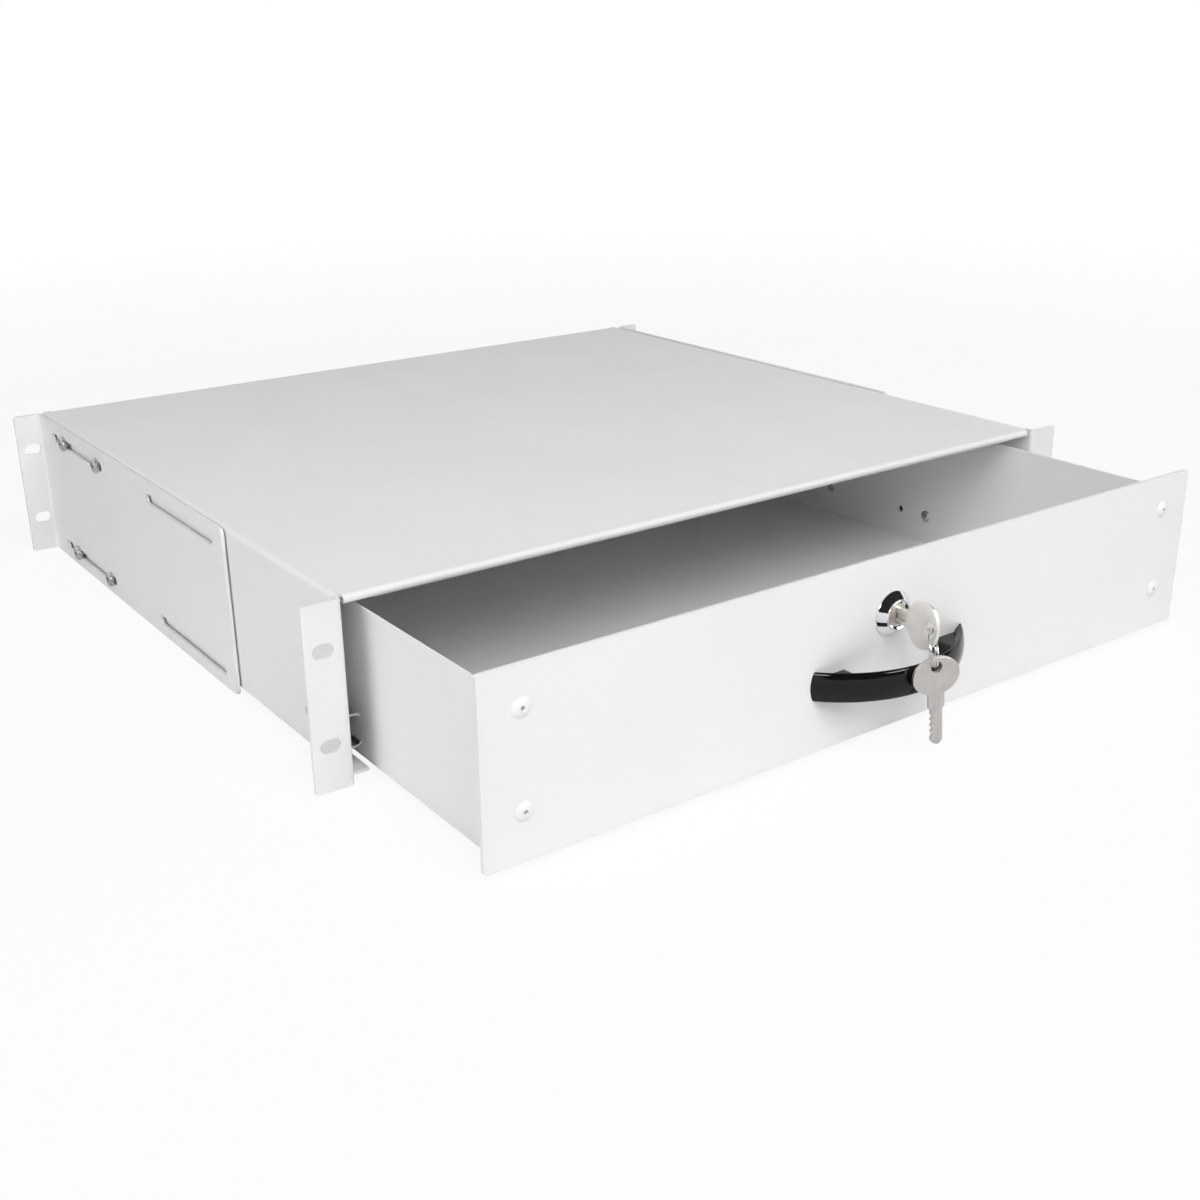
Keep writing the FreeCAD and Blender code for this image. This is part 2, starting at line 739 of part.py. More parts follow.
def make_drawer_tray():
    """Tray folded from one sheet: floor, sides, rear wall and two flanges behind the panel."""
    side_x = tray_half_width - tray_sheet / 2
    floor_z = tray_bottom_z + tray_sheet / 2
    rear_y = tray_rear_y - tray_sheet / 2
    trough_line = [
        Vector(-side_x, panel_back_y, tray_top_z),
        Vector(-side_x, panel_back_y, floor_z),
        Vector(side_x, panel_back_y, floor_z),
        Vector(side_x, panel_back_y, tray_top_z),
    ]
    trough = folded_sheet(trough_line, [bend_radius] * 2, tray_sheet, Vector(0, tray_depth, 0))
    rear_half = tray_half_width - tray_sheet
    rear_fold = tray_sheet + bend_radius
    trough = trough.cut(block((-rear_half, rear_half), (tray_rear_y - rear_fold, tray_rear_y + 1),
                              (tray_bottom_z - 1, tray_bottom_z + rear_fold)))
    rear_line = [
        Vector(-rear_half, rear_y - fold_run, floor_z),
        Vector(-rear_half, rear_y, floor_z),
        Vector(-rear_half, rear_y, tray_top_z),
    ]
    rear_wall = folded_sheet(rear_line, [bend_radius], tray_sheet, Vector(2 * rear_half, 0, 0))
    flange_z = tray_bottom_z + rear_fold
    flange_line = [
        Vector(side_x, panel_back_y + fold_run, flange_z),
        Vector(side_x, panel_back_y + tray_sheet / 2, flange_z),
        Vector(tray_half_width - tray_flange, panel_back_y + tray_sheet / 2, flange_z),
    ]
    flange = folded_sheet(flange_line, [bend_radius], tray_sheet, Vector(0, 0, tray_top_z - flange_z))
    corner = block((side_x - tray_sheet, tray_half_width + 1),
                   (panel_back_y - 1, panel_back_y + rear_fold), (flange_z, tray_top_z + 1))
    for side in sides.values():
        trough = trough.cut(mirrored(corner, side))
    tray = join(trough, [rear_wall] + [mirrored(flange, side) for side in sides.values()])
    return tray.cut(tray_holes())


def tray_holes():
    """Cutters through the tray for the slide rivets, the spare hole and the panel rivets."""
    holes = []
    for side in sides.values():
        start_x = side * (tray_half_width + 1)
        end_x = side * (tray_half_width - tray_sheet - 1)
        for y in drawer_rivet_places():
            holes.append(rod(rail_rivet_radius + hole_clearance,
                             Vector(start_x, y, slide_z), Vector(end_x, y, slide_z)))
        y = drawer_rail_front_y + spare_hole_offset
        holes.append(rod(spare_hole_radius, Vector(start_x, y, slide_z), Vector(end_x, y, slide_z)))
    return holes + panel_rivet_holes()


def panel_rivet_places():
    """Across and up positions of the four panel rivets."""
    places = []
    for x in (-panel_rivet_x, panel_rivet_x):
        for z in (panel_rivet_low_z, panel_rivet_high_z):
            places.append((x, z))
    return places


def panel_rivet_holes():
    """Cutters through the panel and the tray flanges behind it."""
    return [rod(panel_rivet_radius + hole_clearance, Vector(x, panel_front_y - 1, z),
                Vector(x, panel_back_y + tray_sheet + 1, z)) for x, z in panel_rivet_places()]


def barrel_section(clearance, start_y, end_y):
    """Round barrel with two flats, as a solid or as the cutter for its hole."""
    barrel = rod(barrel_radius + clearance, Vector(0, start_y, lock_z), Vector(0, end_y, lock_z))
    half_flat = barrel_flat_width / 2 + clearance
    flats = block((-half_flat, half_flat), (start_y, end_y),
                  (lock_z - 2 * barrel_radius, lock_z + 2 * barrel_radius))
    return barrel.common(flats)


def make_front_panel():
    """Flat front panel with rounded corners and holes for rivets, lock and handle screws."""
    panel = block((-panel_half_width, panel_half_width), (panel_front_y, panel_back_y),
                  (panel_bottom_z, panel_top_z))
    corners = [edge for edge in panel.Edges if abs(edge.Length - panel_sheet) < 1e-6]
    panel = panel.makeFillet(panel_corner, corners)
    holes = panel_rivet_holes()
    holes.append(barrel_section(hole_clearance, panel_front_y - 1, panel_back_y + 1))
    for x in (-handle_screw_x, handle_screw_x):
        holes.append(rod(handle_screw_radius + hole_clearance, Vector(x, panel_front_y - 1, handle_z),
                         Vector(x, panel_back_y + 1, handle_z)))
    return panel.cut(holes)


def make_panel_rivets():
    """Four blind rivets: domed head in front, mandrel hole, and a bulb behind the flange."""
    rivets = []
    outward = Vector(0, -1, 0)
    grip_end_y = panel_back_y + tray_sheet
    for x, z in panel_rivet_places():
        seat = Vector(x, panel_front_y, z)
        head = dome(seat, outward, panel_rivet_head_radius, panel_rivet_head_height)
        shank = rod(panel_rivet_radius, Vector(x, panel_front_y - panel_rivet_head_height / 2, z),
                    Vector(x, grip_end_y + panel_rivet_bulb_length, z))
        bulb = rod(panel_rivet_bulb_radius, Vector(x, grip_end_y, z),
                   Vector(x, grip_end_y + panel_rivet_bulb_length, z))
        bore = rod(panel_rivet_bore, seat + outward * (2 * panel_rivet_head_height), Vector(x, grip_end_y, z))
        rivets.append(join(head, [shank, bulb]).cut(bore))
    return rivets


# Handle


def make_handle():
    """Bow handle: a band between two arcs, crowned in front and bevelled behind, on two foot blocks."""
    top_z = handle_bottom_z + handle_height
    outer_y = panel_front_y - handle_reach + handle_outer_radius
    inner_y = panel_front_y - handle_reach + handle_thickness + handle_inner_radius
    outer = rod(handle_outer_radius, Vector(0, outer_y, handle_bottom_z), Vector(0, outer_y, top_z))
    inner = rod(handle_inner_radius, Vector(0, inner_y, handle_bottom_z - 1), Vector(0, inner_y, top_z + 1))
    front = block((-handle_outer_radius, handle_outer_radius),
                  (panel_front_y - handle_reach - 1, panel_front_y), (handle_bottom_z, top_z))
    crown_radius = (handle_height ** 2 / 4 + handle_crown ** 2) / (2 * handle_crown)
    crown = Part.makeTorus(handle_outer_radius - crown_radius, crown_radius,
                           Vector(0, outer_y, handle_z), Vector(0, 0, 1))
    band = outer.common(front).common(crown).cut(inner)
    rear_edges = [edge for edge in band.Edges if edge.BoundBox.ZLength < 0.01
                  and abs(edge.BoundBox.YMin - panel_front_y + handle_gap) < 0.01]
    band = band.makeChamfer(handle_rear_bevel, rear_edges)
    front_edges = [edge for edge in band.Edges if edge.BoundBox.ZLength < 0.01
                   and abs(edge.BoundBox.YMin - panel_front_y + handle_reach - handle_crown) < 0.01]
    band = band.makeFillet(handle_edge, front_edges)
    core_radius = handle_outer_radius - handle_thickness / 2
    core = rod(core_radius, Vector(0, outer_y, handle_bottom_z), Vector(0, outer_y, top_z))
    half_foot = handle_foot_block_height / 2
    for side in sides.values():
        x = side * handle_screw_x
        round_x = side * (handle_foot_block_inner + half_foot)
        foot = block((round_x, side * handle_foot_block_outer), (outer_y - core_radius, panel_front_y),
                     (handle_z - half_foot, handle_z + half_foot))
        inner_end = rod(half_foot, Vector(round_x, outer_y - core_radius, handle_z),
                        Vector(round_x, panel_front_y, handle_z))
        hole = rod(handle_screw_radius + thread_clearance, Vector(x, panel_front_y + 1, handle_z),
                   Vector(x, panel_front_y - handle_screw_depth, handle_z))
        band = join(band, [join(foot, [inner_end]).common(core)]).cut(hole)
    return band


def make_handle_screws():
    """Two screws from inside the drawer into the handle's feet."""
    length = panel_sheet + handle_screw_depth - 2 * hole_clearance
    return [pan_screw(Vector(x, panel_back_y, handle_z), Vector(0, -1, 0), handle_screw_radius, length,
                      handle_screw_head_radius, handle_screw_head_height)
            for x in (-handle_screw_x, handle_screw_x)]


# Lock


def lock_point(y):
    """Point on the lock's axis."""
    return Vector(0, y, lock_z)


def make_lock_body():
    """Chrome bezel in front of the panel and a barrel with two flats through it."""
    outline = [
        (plug_bore_radius, plug_face_y), (bezel_mouth_radius, panel_front_y - bezel_height),
        (bezel_ring_radius, panel_front_y - bezel_height), (bezel_radius, panel_front_y - bezel_land),
        (bezel_radius, panel_front_y), (plug_bore_radius, panel_front_y),
    ]
    points = [Vector(radius, y, lock_z) for radius, y in outline]
    section = Part.Face(Part.makePolygon(points + points[:1]))
    bezel = section.revolve(lock_point(0), Vector(0, 1, 0), 360)
    barrel = barrel_section(0, panel_front_y, barrel_rear_y)
    bore = rod(plug_bore_radius, lock_point(panel_front_y - 1), lock_point(barrel_rear_y + 1))
    return join(bezel, [barrel.cut(bore)])


def make_lock_nut():
    """Hexagon nut that holds the lock from behind the panel."""
    corner_radius = lock_nut_across / 2 / math.cos(math.radians(30))
    corners = []
    for index in range(7):
        angle = math.radians(60 * index)
        corners.append(Vector(corner_radius * math.cos(angle), panel_back_y,
                              lock_z + corner_radius * math.sin(angle)))
    nut = Part.Face(Part.makePolygon(corners)).extrude(Vector(0, lock_nut_height, 0))
    return nut.cut(rod(barrel_radius + thread_clearance, lock_point(panel_back_y - 1),
                       lock_point(panel_back_y + lock_nut_height + 1)))


def wafer_places():
    """Depths of the front faces of the wafers."""
    return [plug_face_y + wafer_first + index * wafer_pitch for index in range(wafer_count)]


def make_lock_plug():
    """Round plug with a keyway, slots for the wafers and a square tenon for the cam."""
    plug = rod(plug_radius, lock_point(plug_face_y), lock_point(barrel_rear_y))
    tenon = block((-tenon_width / 2, tenon_width / 2), (barrel_rear_y, barrel_rear_y + cam_sheet),
                  (lock_z - tenon_width / 2, lock_z + tenon_width / 2))
    half_width = key_sheet / 2 + key_clearance
    half_height = key_blade_width / 2 + key_clearance
    cutters = [block((-half_width, half_width),
                     (plug_face_y - 1, plug_face_y + key_blade_length + key_end_clearance),
                     (lock_z - half_height, lock_z + half_height))]
    half_wafer = wafer_width / 2 + wafer_slot_clearance
    for y in wafer_places():
        cutters.append(block((-half_wafer, half_wafer),
                             (y - wafer_slot_clearance, y + wafer_sheet + wafer_slot_clearance),
                             (lock_z - plug_radius, lock_z + plug_radius)))
    tenon_end_y = barrel_rear_y + cam_sheet
    cutters.append(rod(cam_screw_radius + thread_clearance, lock_point(tenon_end_y + 1),
                       lock_point(tenon_end_y - cam_screw_length - hole_clearance)))
    return join(plug, [tenon]).cut(cutters)


def make_lock_wafers():
    """Thin plates in the plug, each with a window round the key's blade."""
    wafers = []
    half_width = wafer_width / 2
    window_x = key_sheet / 2 + wafer_window_margin
    window_z = key_blade_width / 2 + wafer_window_margin
    for y in wafer_places():
        disc = rod(plug_radius - wafer_slot_clearance, lock_point(y), lock_point(y + wafer_sheet))
        wafer = disc.common(block((-half_width, half_width), (y - 1, y + wafer_sheet + 1),
                                  (lock_z - plug_radius, lock_z + plug_radius)))
        window = block((-window_x, window_x), (y - 1, y + wafer_sheet + 1),
                       (lock_z - window_z, lock_z + window_z))
        wafers.append(wafer.cut(window))
    return wafers


def make_lock_cam():
    """Flat cam on the plug's tenon: it points right when unlocked and up when locked."""
    reach = casing_top_z - casing_sheet - cam_clearance - lock_z
    rear_y = barrel_rear_y + cam_sheet
    hub = rod(cam_hub_radius, lock_point(barrel_rear_y), lock_point(rear_y))
    sweep = rod(reach, lock_point(barrel_rear_y), lock_point(rear_y))
    arm = sweep.common(block((0, reach), (barrel_rear_y, rear_y),
                             (lock_z - cam_width / 2, lock_z + cam_width / 2)))
    half_hole = tenon_width / 2 + thread_clearance
    hole = block((-half_hole, half_hole), (barrel_rear_y - 1, rear_y + 1),
                 (lock_z - half_hole, lock_z + half_hole))
    return join(hub, [arm]).cut(hole)


def make_cam_screw():
    """Screw that holds the cam on the plug."""
    return pan_screw(lock_point(barrel_rear_y + cam_sheet), Vector(0, -1, 0), cam_screw_radius,
                     cam_screw_length, cam_screw_head_radius, cam_screw_head_height)


# Keys


def flat_key():
    """Key drawn flat about its shoulder: the bow along +X, the blade along -X, its face along Z."""
    bow_centre = Vector(key_neck_length + key_bow_length / 2, 0, -key_sheet / 2)
    ellipse = Part.Ellipse(bow_centre + Vector(0, key_bow_width / 2, 0),
                           bow_centre + Vector(key_bow_length / 2, 0, 0), bow_centre)
    bow = Part.Face(Part.Wire(ellipse.toShape())).extrude(Vector(0, 0, key_sheet))
    neck = block((0, bow_centre.x), (-key_neck_width / 2, key_neck_width / 2),
                 (-key_sheet / 2, key_sheet / 2))
    half_blade = key_blade_width / 2
    blade = block((half_blade - key_blade_length, 1), (-half_blade, half_blade),
                  (-key_sheet / 2, key_sheet / 2))
    tip = rod(half_blade, Vector(half_blade - key_blade_length, 0, -key_sheet / 2),
              Vector(half_blade - key_blade_length, 0, key_sheet / 2))
    key = join(bow, [neck, blade, tip])
    cutters = []
    hole = key_hole_centre()
    cutters.append(rod(key_hole_radius, hole - Vector(0, 0, key_sheet), hole + Vector(0, 0, key_sheet)))
    bit_y = -half_blade - key_bit_radius + key_bit_depth
    for index in range(key_bit_count):
        bit = Vector(-key_bit_first - key_bit_pitch * index, bit_y, 0)
        cutters.append(rod(key_bit_radius, bit - Vector(0, 0, key_sheet), bit + Vector(0, 0, key_sheet)))
    for face in (-1, 1):
        outer = face * (key_sheet / 2 + 1)
        inner = face * (key_sheet / 2 - key_groove_depth)
        cutters.append(block((-key_blade_length - 1, key_groove_end),
                             (-key_groove_width / 2, key_groove_width / 2), (outer, inner)))
    return key.cut(cutters)


def key_hole_centre():
    """Centre of the ring hole in the flat key."""
    return Vector(key_neck_length + key_bow_length - key_hole_edge, 0, 0)


def make_key():
    """Key pushed home in the plug, its bow upright."""
    return placed(flat_key(), lock_point(plug_face_y), Vector(0, -1, 0), Vector(0, 0, 1))


def spare_hole_centre():
    """Centre of the hanging key's hole, in front of the handle."""
    return Vector(spare_hole_x, panel_front_y - handle_reach - spare_hole_gap, lock_z - spare_hole_drop)


def make_spare_key():
    """Second key, hanging from the ring in front of the handle, a little out of plumb."""
    angle = math.radians(spare_key_angle)
    lean = math.radians(spare_key_lean)
    level = Vector(math.cos(angle), math.sin(angle), 0)
    up = Vector(0, 0, math.cos(lean)) - level * math.sin(lean)
    sideways = level * math.cos(lean) + Vector(0, 0, math.sin(lean))
    return placed(flat_key(), spare_hole_centre() - up * key_hole_centre().x, up, sideways)


def make_key_ring():
    """Split ring of two close turns through both keys' holes."""
    upper = lock_point(plug_face_y - key_hole_centre().x)
    lower = spare_hole_centre()
    angle = math.radians(ring_plane_angle)
    level = Vector(math.cos(angle), math.sin(angle), 0)
    axis = Vector(level.cross(upper - lower)).normalize()
    centre = (upper + lower) * 0.5
    turn_radius = (upper - lower).Length / 2
    turns = [Part.makeTorus(turn_radius, ring_wire_radius, centre + axis * (side * ring_coil_pitch / 2), axis)
             for side in sides.values()]
    return turns[0].fuse(turns[1])


def main():
    os.makedirs("parts", exist_ok=True)
    save("casing", [make_casing()])
    paired = {
        "bracket": make_bracket,
        "bracket_screws": make_bracket_screws,
        "rivet_nuts": make_rivet_nuts,
        "cabinet_rail": make_cabinet_rail,
        "cabinet_rail_rivets": make_cabinet_rail_rivets,
        "drawer_rail": make_drawer_rail,
        "drawer_rail_rivets": make_drawer_rail_rivets,
        "ball_cage": make_ball_cage,
        "balls": make_balls,
    }
    for name, make in paired.items():
        for side, solids in on_both_sides(make).items():
            save(f"{name}_{side}", solids)
    save("drawer_tray", [make_drawer_tray()])
    save("front_panel", [make_front_panel()])
    save("panel_rivets", make_panel_rivets())
    save("handle", [make_handle()])
    save("handle_screws", make_handle_screws())
    save("lock_body", [make_lock_body()])
    save("lock_nut", [make_lock_nut()])
    save("lock_plug", [make_lock_plug()])
    save("lock_wafers", make_lock_wafers())
    save("lock_cam", [make_lock_cam()])
    save("cam_screw", [make_cam_screw()])
    save("key", [make_key()])
    save("spare_key", [make_spare_key()])
    save("key_ring", [make_key_ring()])


main()
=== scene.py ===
import math

import bpy
import numpy as np
from bpy.props import FloatProperty, FloatVectorProperty, PointerProperty
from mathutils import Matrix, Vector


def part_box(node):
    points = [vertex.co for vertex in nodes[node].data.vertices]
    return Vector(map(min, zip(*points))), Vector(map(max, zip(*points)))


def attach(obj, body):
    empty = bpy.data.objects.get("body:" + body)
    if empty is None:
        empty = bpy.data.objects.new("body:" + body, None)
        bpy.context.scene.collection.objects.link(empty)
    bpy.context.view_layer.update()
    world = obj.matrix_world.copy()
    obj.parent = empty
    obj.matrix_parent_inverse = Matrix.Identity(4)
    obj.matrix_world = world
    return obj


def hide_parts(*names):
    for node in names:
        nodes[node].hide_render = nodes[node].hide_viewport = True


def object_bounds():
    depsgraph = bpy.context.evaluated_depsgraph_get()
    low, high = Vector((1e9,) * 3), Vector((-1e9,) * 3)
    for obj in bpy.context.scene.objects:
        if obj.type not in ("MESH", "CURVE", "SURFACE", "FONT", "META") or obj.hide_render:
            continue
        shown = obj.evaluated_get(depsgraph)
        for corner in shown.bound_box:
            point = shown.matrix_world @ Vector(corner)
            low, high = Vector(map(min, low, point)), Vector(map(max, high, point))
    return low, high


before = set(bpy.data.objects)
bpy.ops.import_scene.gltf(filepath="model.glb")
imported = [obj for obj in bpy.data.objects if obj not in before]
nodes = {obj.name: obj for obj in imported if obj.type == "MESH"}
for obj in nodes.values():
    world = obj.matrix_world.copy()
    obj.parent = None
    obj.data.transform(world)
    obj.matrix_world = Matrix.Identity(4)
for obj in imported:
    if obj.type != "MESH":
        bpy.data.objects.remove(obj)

bl_info = {
    "name": "Rack Drawer Dressing",
    "version": (1, 0, 0),
    "blender": (4, 5, 0),
    "location": "View3D > Sidebar > Rack Drawer",
    "description": "Finishes and detailed pieces for a lockable 19 inch rack drawer, and its studio",
    "category": "Object",
}

MM = 0.001
cad_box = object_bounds()

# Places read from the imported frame, in metres
panel_low, panel_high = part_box("front_panel")
handle_low, handle_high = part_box("handle")
body_low, body_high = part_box("lock_body")
key_low, key_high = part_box("key")
rivets_low, rivets_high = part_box("panel_rivets")

panel_front = panel_low.y
panel_back = panel_high.y
lock_height = (key_low.z + key_high.z) / 2
plug_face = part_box("lock_plug")[0].y

# Sizes of the pieces that are made again here, in metres and radians
handle_outer_radius = 64 * MM
handle_foot = 5.58 * MM
handle_thickness = 4.5 * MM
handle_crown_slope = math.radians(18)
handle_lip_slope = math.radians(50)
handle_shoulder = 2.4 * MM
handle_lip = 0.5 * MM
handle_bevel_bend = 0.4 * MM
handle_foot_inner = 26.4 * MM
handle_foot_outer = 44 * MM
handle_foot_half_height = 3.6 * MM
handle_foot_corner = 0.5 * MM

bezel_front_radius = 7.4 * MM
bezel_mouth_radius = 6.5 * MM
bezel_mouth_chamfer = 0.25 * MM
bezel_ring_radius = 0.45 * MM
bezel_flange = 0.5 * MM
bezel_bulge = 0.08 * MM
bezel_bulge_way = np.array((0.72, -0.69))
bezel_flank_step = 0.5 * MM
bezel_flank_gap = 0.15 * MM
bezel_flange_slope = 0.25 * MM
bezel_mouth_step = 0.6 * MM
plug_bore_radius = 5.56 * MM
barrel_radius = 8 * MM
barrel_half_flat = 6.75 * MM
barrel_chamfer = 0.4 * MM

rivet_head_radius = 4.5 * MM
rivet_head_height = 1.4 * MM
rivet_bore_radius = 1 * MM
rivet_bore_depth = 1.5 * MM
rivet_rim = 0.12 * MM
rivet_rim_edge = 0.08 * MM
rivet_dome_power = 2.4
rivet_shank_radius = 2 * MM
rivet_bulb_radius = 2.8 * MM
rivet_bulb_length = 3 * MM
rivet_bulb_start = 0.4 * MM
rivet_bulb_end = 0.5 * MM
tray_sheet = 1.2 * MM

key_sheet = 2 * MM
key_rim = 0.35 * MM
key_hole_rim = 0.2 * MM
key_blade_rim = 0.25 * MM
key_blade_relief = 0.012 * MM
key_bow_length = 18.4 * MM
key_bow_width = 23.2 * MM
key_hole_radius = 2.75 * MM
key_hole_place = 19.8 * MM
key_neck_width = 7.8 * MM
key_neck_length = 6.2 * MM
key_blade_width = 5.7 * MM
key_blade_length = 18.5 * MM
key_groove_width = 1.9 * MM
key_groove_depth = 0.5 * MM
key_groove_end = 5 * MM
key_groove_runout = 0.4 * MM
key_groove_slope = 0.45
key_sections_near_bow = [8.2 * MM, 6.0 * MM]
key_sections_before_blade = [3.0 * MM, 0.25 * MM, 0.0]
key_rim_middle = 0.3
key_bit_radius = 1.3 * MM
key_bit_depth = 0.7 * MM
key_bit_places = [-4.5 * MM, -7.5 * MM, -10.5 * MM, -13.5 * MM]
spare_key_turn = math.radians(-18)
spare_key_lean = math.radians(4.5)
spare_hole_across = -1 * MM
spare_hole_lead = 4.8 * MM
spare_hole_drop = 16.4 * MM

ring_wire_radius = 0.5 * MM
ring_wire_flatness = 0.94
ring_pitch = 0.95 * MM
ring_plane_turn = math.radians(36)
ring_start = math.radians(100)
ring_sweep = math.radians(672)
ring_step_start = math.radians(318)
ring_step_sweep = math.radians(42)
ring_end_taper = np.array((0.55, 0.85, 0.97, 1.0))

# The stage: places and sizes in metres, areas in square metres, angles in degrees, ways as unit vectors
front_lamp_place = (-0.2, -1.15, 1.39)
front_lamp_target = (0.0, -0.05, 0.0)
front_lamp_size = (1.2, 1.2)
left_lamp_place = (-1.58, -0.24, 0.65)
left_lamp_size = (1.0, 1.0)
right_lamp_place = (1.2, -1.2, 0.9)
right_lamp_size = (1.2, 1.2)
middle_target = (0.0, 0.0, 0.0)
right_gloss_place = (0.49, -0.96, 0.50)
right_gloss_size = (0.8, 0.24)
right_gloss_area = 0.19
left_gloss_place = (-0.76, -0.72, 0.56)
left_gloss_size = (0.24, 0.3)
left_gloss_area = 0.07
handle_target = (0.0, -0.12, 0.0)
camera_place = (-0.47338, -0.53581, 0.26616)
camera_turn = (68.857, 0.634, -35.967)
dark_room_way = (0.240, -0.896, 0.375)
floor_lift = 0.9
floor_rings = (0.05, 0.6, 1.2, 2.0)


# Colours and nodes


def linear(hex_colour):
    """Linear red, green and blue of an sRGB hex colour."""
    values = np.array([int(hex_colour[place:place + 2], 16) for place in (1, 3, 5)]) / 255
    low = values / 12.92
    high = ((values + 0.055) / 1.055) ** 2.4
    return tuple(float(value) for value in np.where(values <= 0.04045, low, high))


def opaque(colour):
    """A colour with full alpha, for a node's socket."""
    return (colour[0], colour[1], colour[2], 1.0)


def add_node(tree, kind, settings=None, inputs=None):
    """Add a node with its settings. An input, by name or number, is a value or the socket that feeds
    it."""
    node = tree.nodes.new(kind)
    for name, value in (settings or {}).items():
        setattr(node, name, value)
    for name, value in (inputs or {}).items():
        if isinstance(value, bpy.types.NodeSocket):
            tree.links.new(value, node.inputs[name])
        else:
            node.inputs[name].default_value = value
    return node


def new_material(name):
    """Empty node material and its tree, with an output."""
    material = bpy.data.materials.new(name)
    material.use_nodes = True
    material.node_tree.nodes.clear()
    output = add_node(material.node_tree, "ShaderNodeOutputMaterial")
    return material, material.node_tree, output


def grain(tree, spacing, detail=2.0, stretch=(1.0, 1.0, 1.0)):
    """Noise over the object whose lumps are about spacing metres apart, drawn out by stretch."""
    place = add_node(tree, "ShaderNodeTexCoord").outputs["Object"]
    scaled = add_node(tree, "ShaderNodeMapping", inputs={"Vector": place, "Scale": stretch})
    return add_node(tree, "ShaderNodeTexNoise", inputs={
        "Vector": scaled.outputs["Vector"], "Scale": 1 / spacing, "Detail": detail}).outputs["Fac"]


def spread(tree, value, low, high, start=0.3, end=0.7):
    """Value spread over a range from low to high. It starts and ends at 0.3 and 0.7 for noise, which
    seldom leaves them."""
    return add_node(tree, "ShaderNodeMapRange", inputs={
        "Value": value, "From Min": start, "From Max": end, "To Min": low, "To Max": high}
    ).outputs["Result"]


def blend_colours(tree, share, first, second):
    """Colour between two colours by share. The mix node's colour inputs are 6 and 7, its output is 2."""
    return add_node(tree, "ShaderNodeMix", {"data_type": "RGBA"}, {
        0: share, 6: opaque(first), 7: opaque(second)}).outputs[2]


def broken_edge(tree, radius):
    """Surface direction with sharp edges rounded by radius, as a coat or a deburred edge is."""
    return add_node(tree, "ShaderNodeBevel", {"samples": 4}, {"Radius": radius}).outputs["Normal"]


def bumped(tree, height, distance, normal):
    """Surface direction with a height pattern of distance metres over an earlier direction."""
    return add_node(tree, "ShaderNodeBump", inputs={
        "Height": height, "Distance": distance, "Strength": 1.0, "Normal": normal}).outputs["Normal"]


# Finishes


def powder_coated_steel(settings):
    """Powder coat, sprayed dry and baked: a satin skin with fine pebbles and soft edges."""
    material, tree, output = new_material("powder_coated_steel")
    pebbles = grain(tree, settings.pebble_spacing, detail=3.0)
    flow = grain(tree, 6 * settings.pebble_spacing)
    cloud = grain(tree, settings.cloud_spacing)
    shade = tuple(value * settings.cloud_depth for value in settings.colour)
    colour = blend_colours(tree, spread(tree, cloud, 0.0, 1.0), settings.colour, shade)
    edges = broken_edge(tree, settings.edge_radius)
    waves = bumped(tree, flow, settings.pebble_height * 1.5, edges)
    normal = bumped(tree, pebbles, settings.pebble_height, waves)
    shader = add_node(tree, "ShaderNodeBsdfPrincipled", inputs={
        "Base Color": colour, "Roughness": spread(tree, pebbles, 0.46, 0.60), "Normal": normal,
        "IOR": 1.5})
    tree.links.new(shader.outputs["BSDF"], output.inputs["Surface"])
    return material


def polished_black_abs(settings):
    """ABS from a polished mould: deep gloss with a faint pull where the wall shrank."""
    material, tree, output = new_material("polished_black_abs")
    pull = grain(tree, 9 * MM, detail=1.0)
    handling = grain(tree, 1.2 * MM, detail=4.0, stretch=(0.15, 1.0, 1.0))
    normal = bumped(tree, pull, 0.00003, broken_edge(tree, 0.3 * MM))
    shader = add_node(tree, "ShaderNodeBsdfPrincipled", inputs={
        "Base Color": blend_colours(tree, spread(tree, handling, 0.0, 1.0), settings.colour,
                                    tuple(value * 1.8 for value in settings.colour)),
        "Roughness": spread(tree, handling, 0.06, 0.11), "Normal": normal, "IOR": 1.54,
        "Specular IOR Level": 0.26})
    tree.links.new(shader.outputs["BSDF"], output.inputs["Surface"])
    return material


def metal(name, colour, tint, roughness, streak, spacing, height, edge=0.15 * MM):
    """Bare or plated metal whose tone and gloss vary along streaks of the working direction."""
    material, tree, output = new_material(name)
    marks = grain(tree, spacing, detail=3.0, stretch=streak)
    patches = grain(tree, 12 * spacing)
    normal = bumped(tree, marks, height, broken_edge(tree, edge))
    shader = add_node(tree, "ShaderNodeBsdfPrincipled", inputs={
        "Base Color": blend_colours(tree, spread(tree, patches, 0.0, 1.0), linear(colour), linear(tint)),
        "Metallic": 1.0, "Roughness": spread(tree, marks, roughness[0], roughness[1]),
        "Normal": normal})
    tree.links.new(shader.outputs["BSDF"], output.inputs["Surface"])
    return material


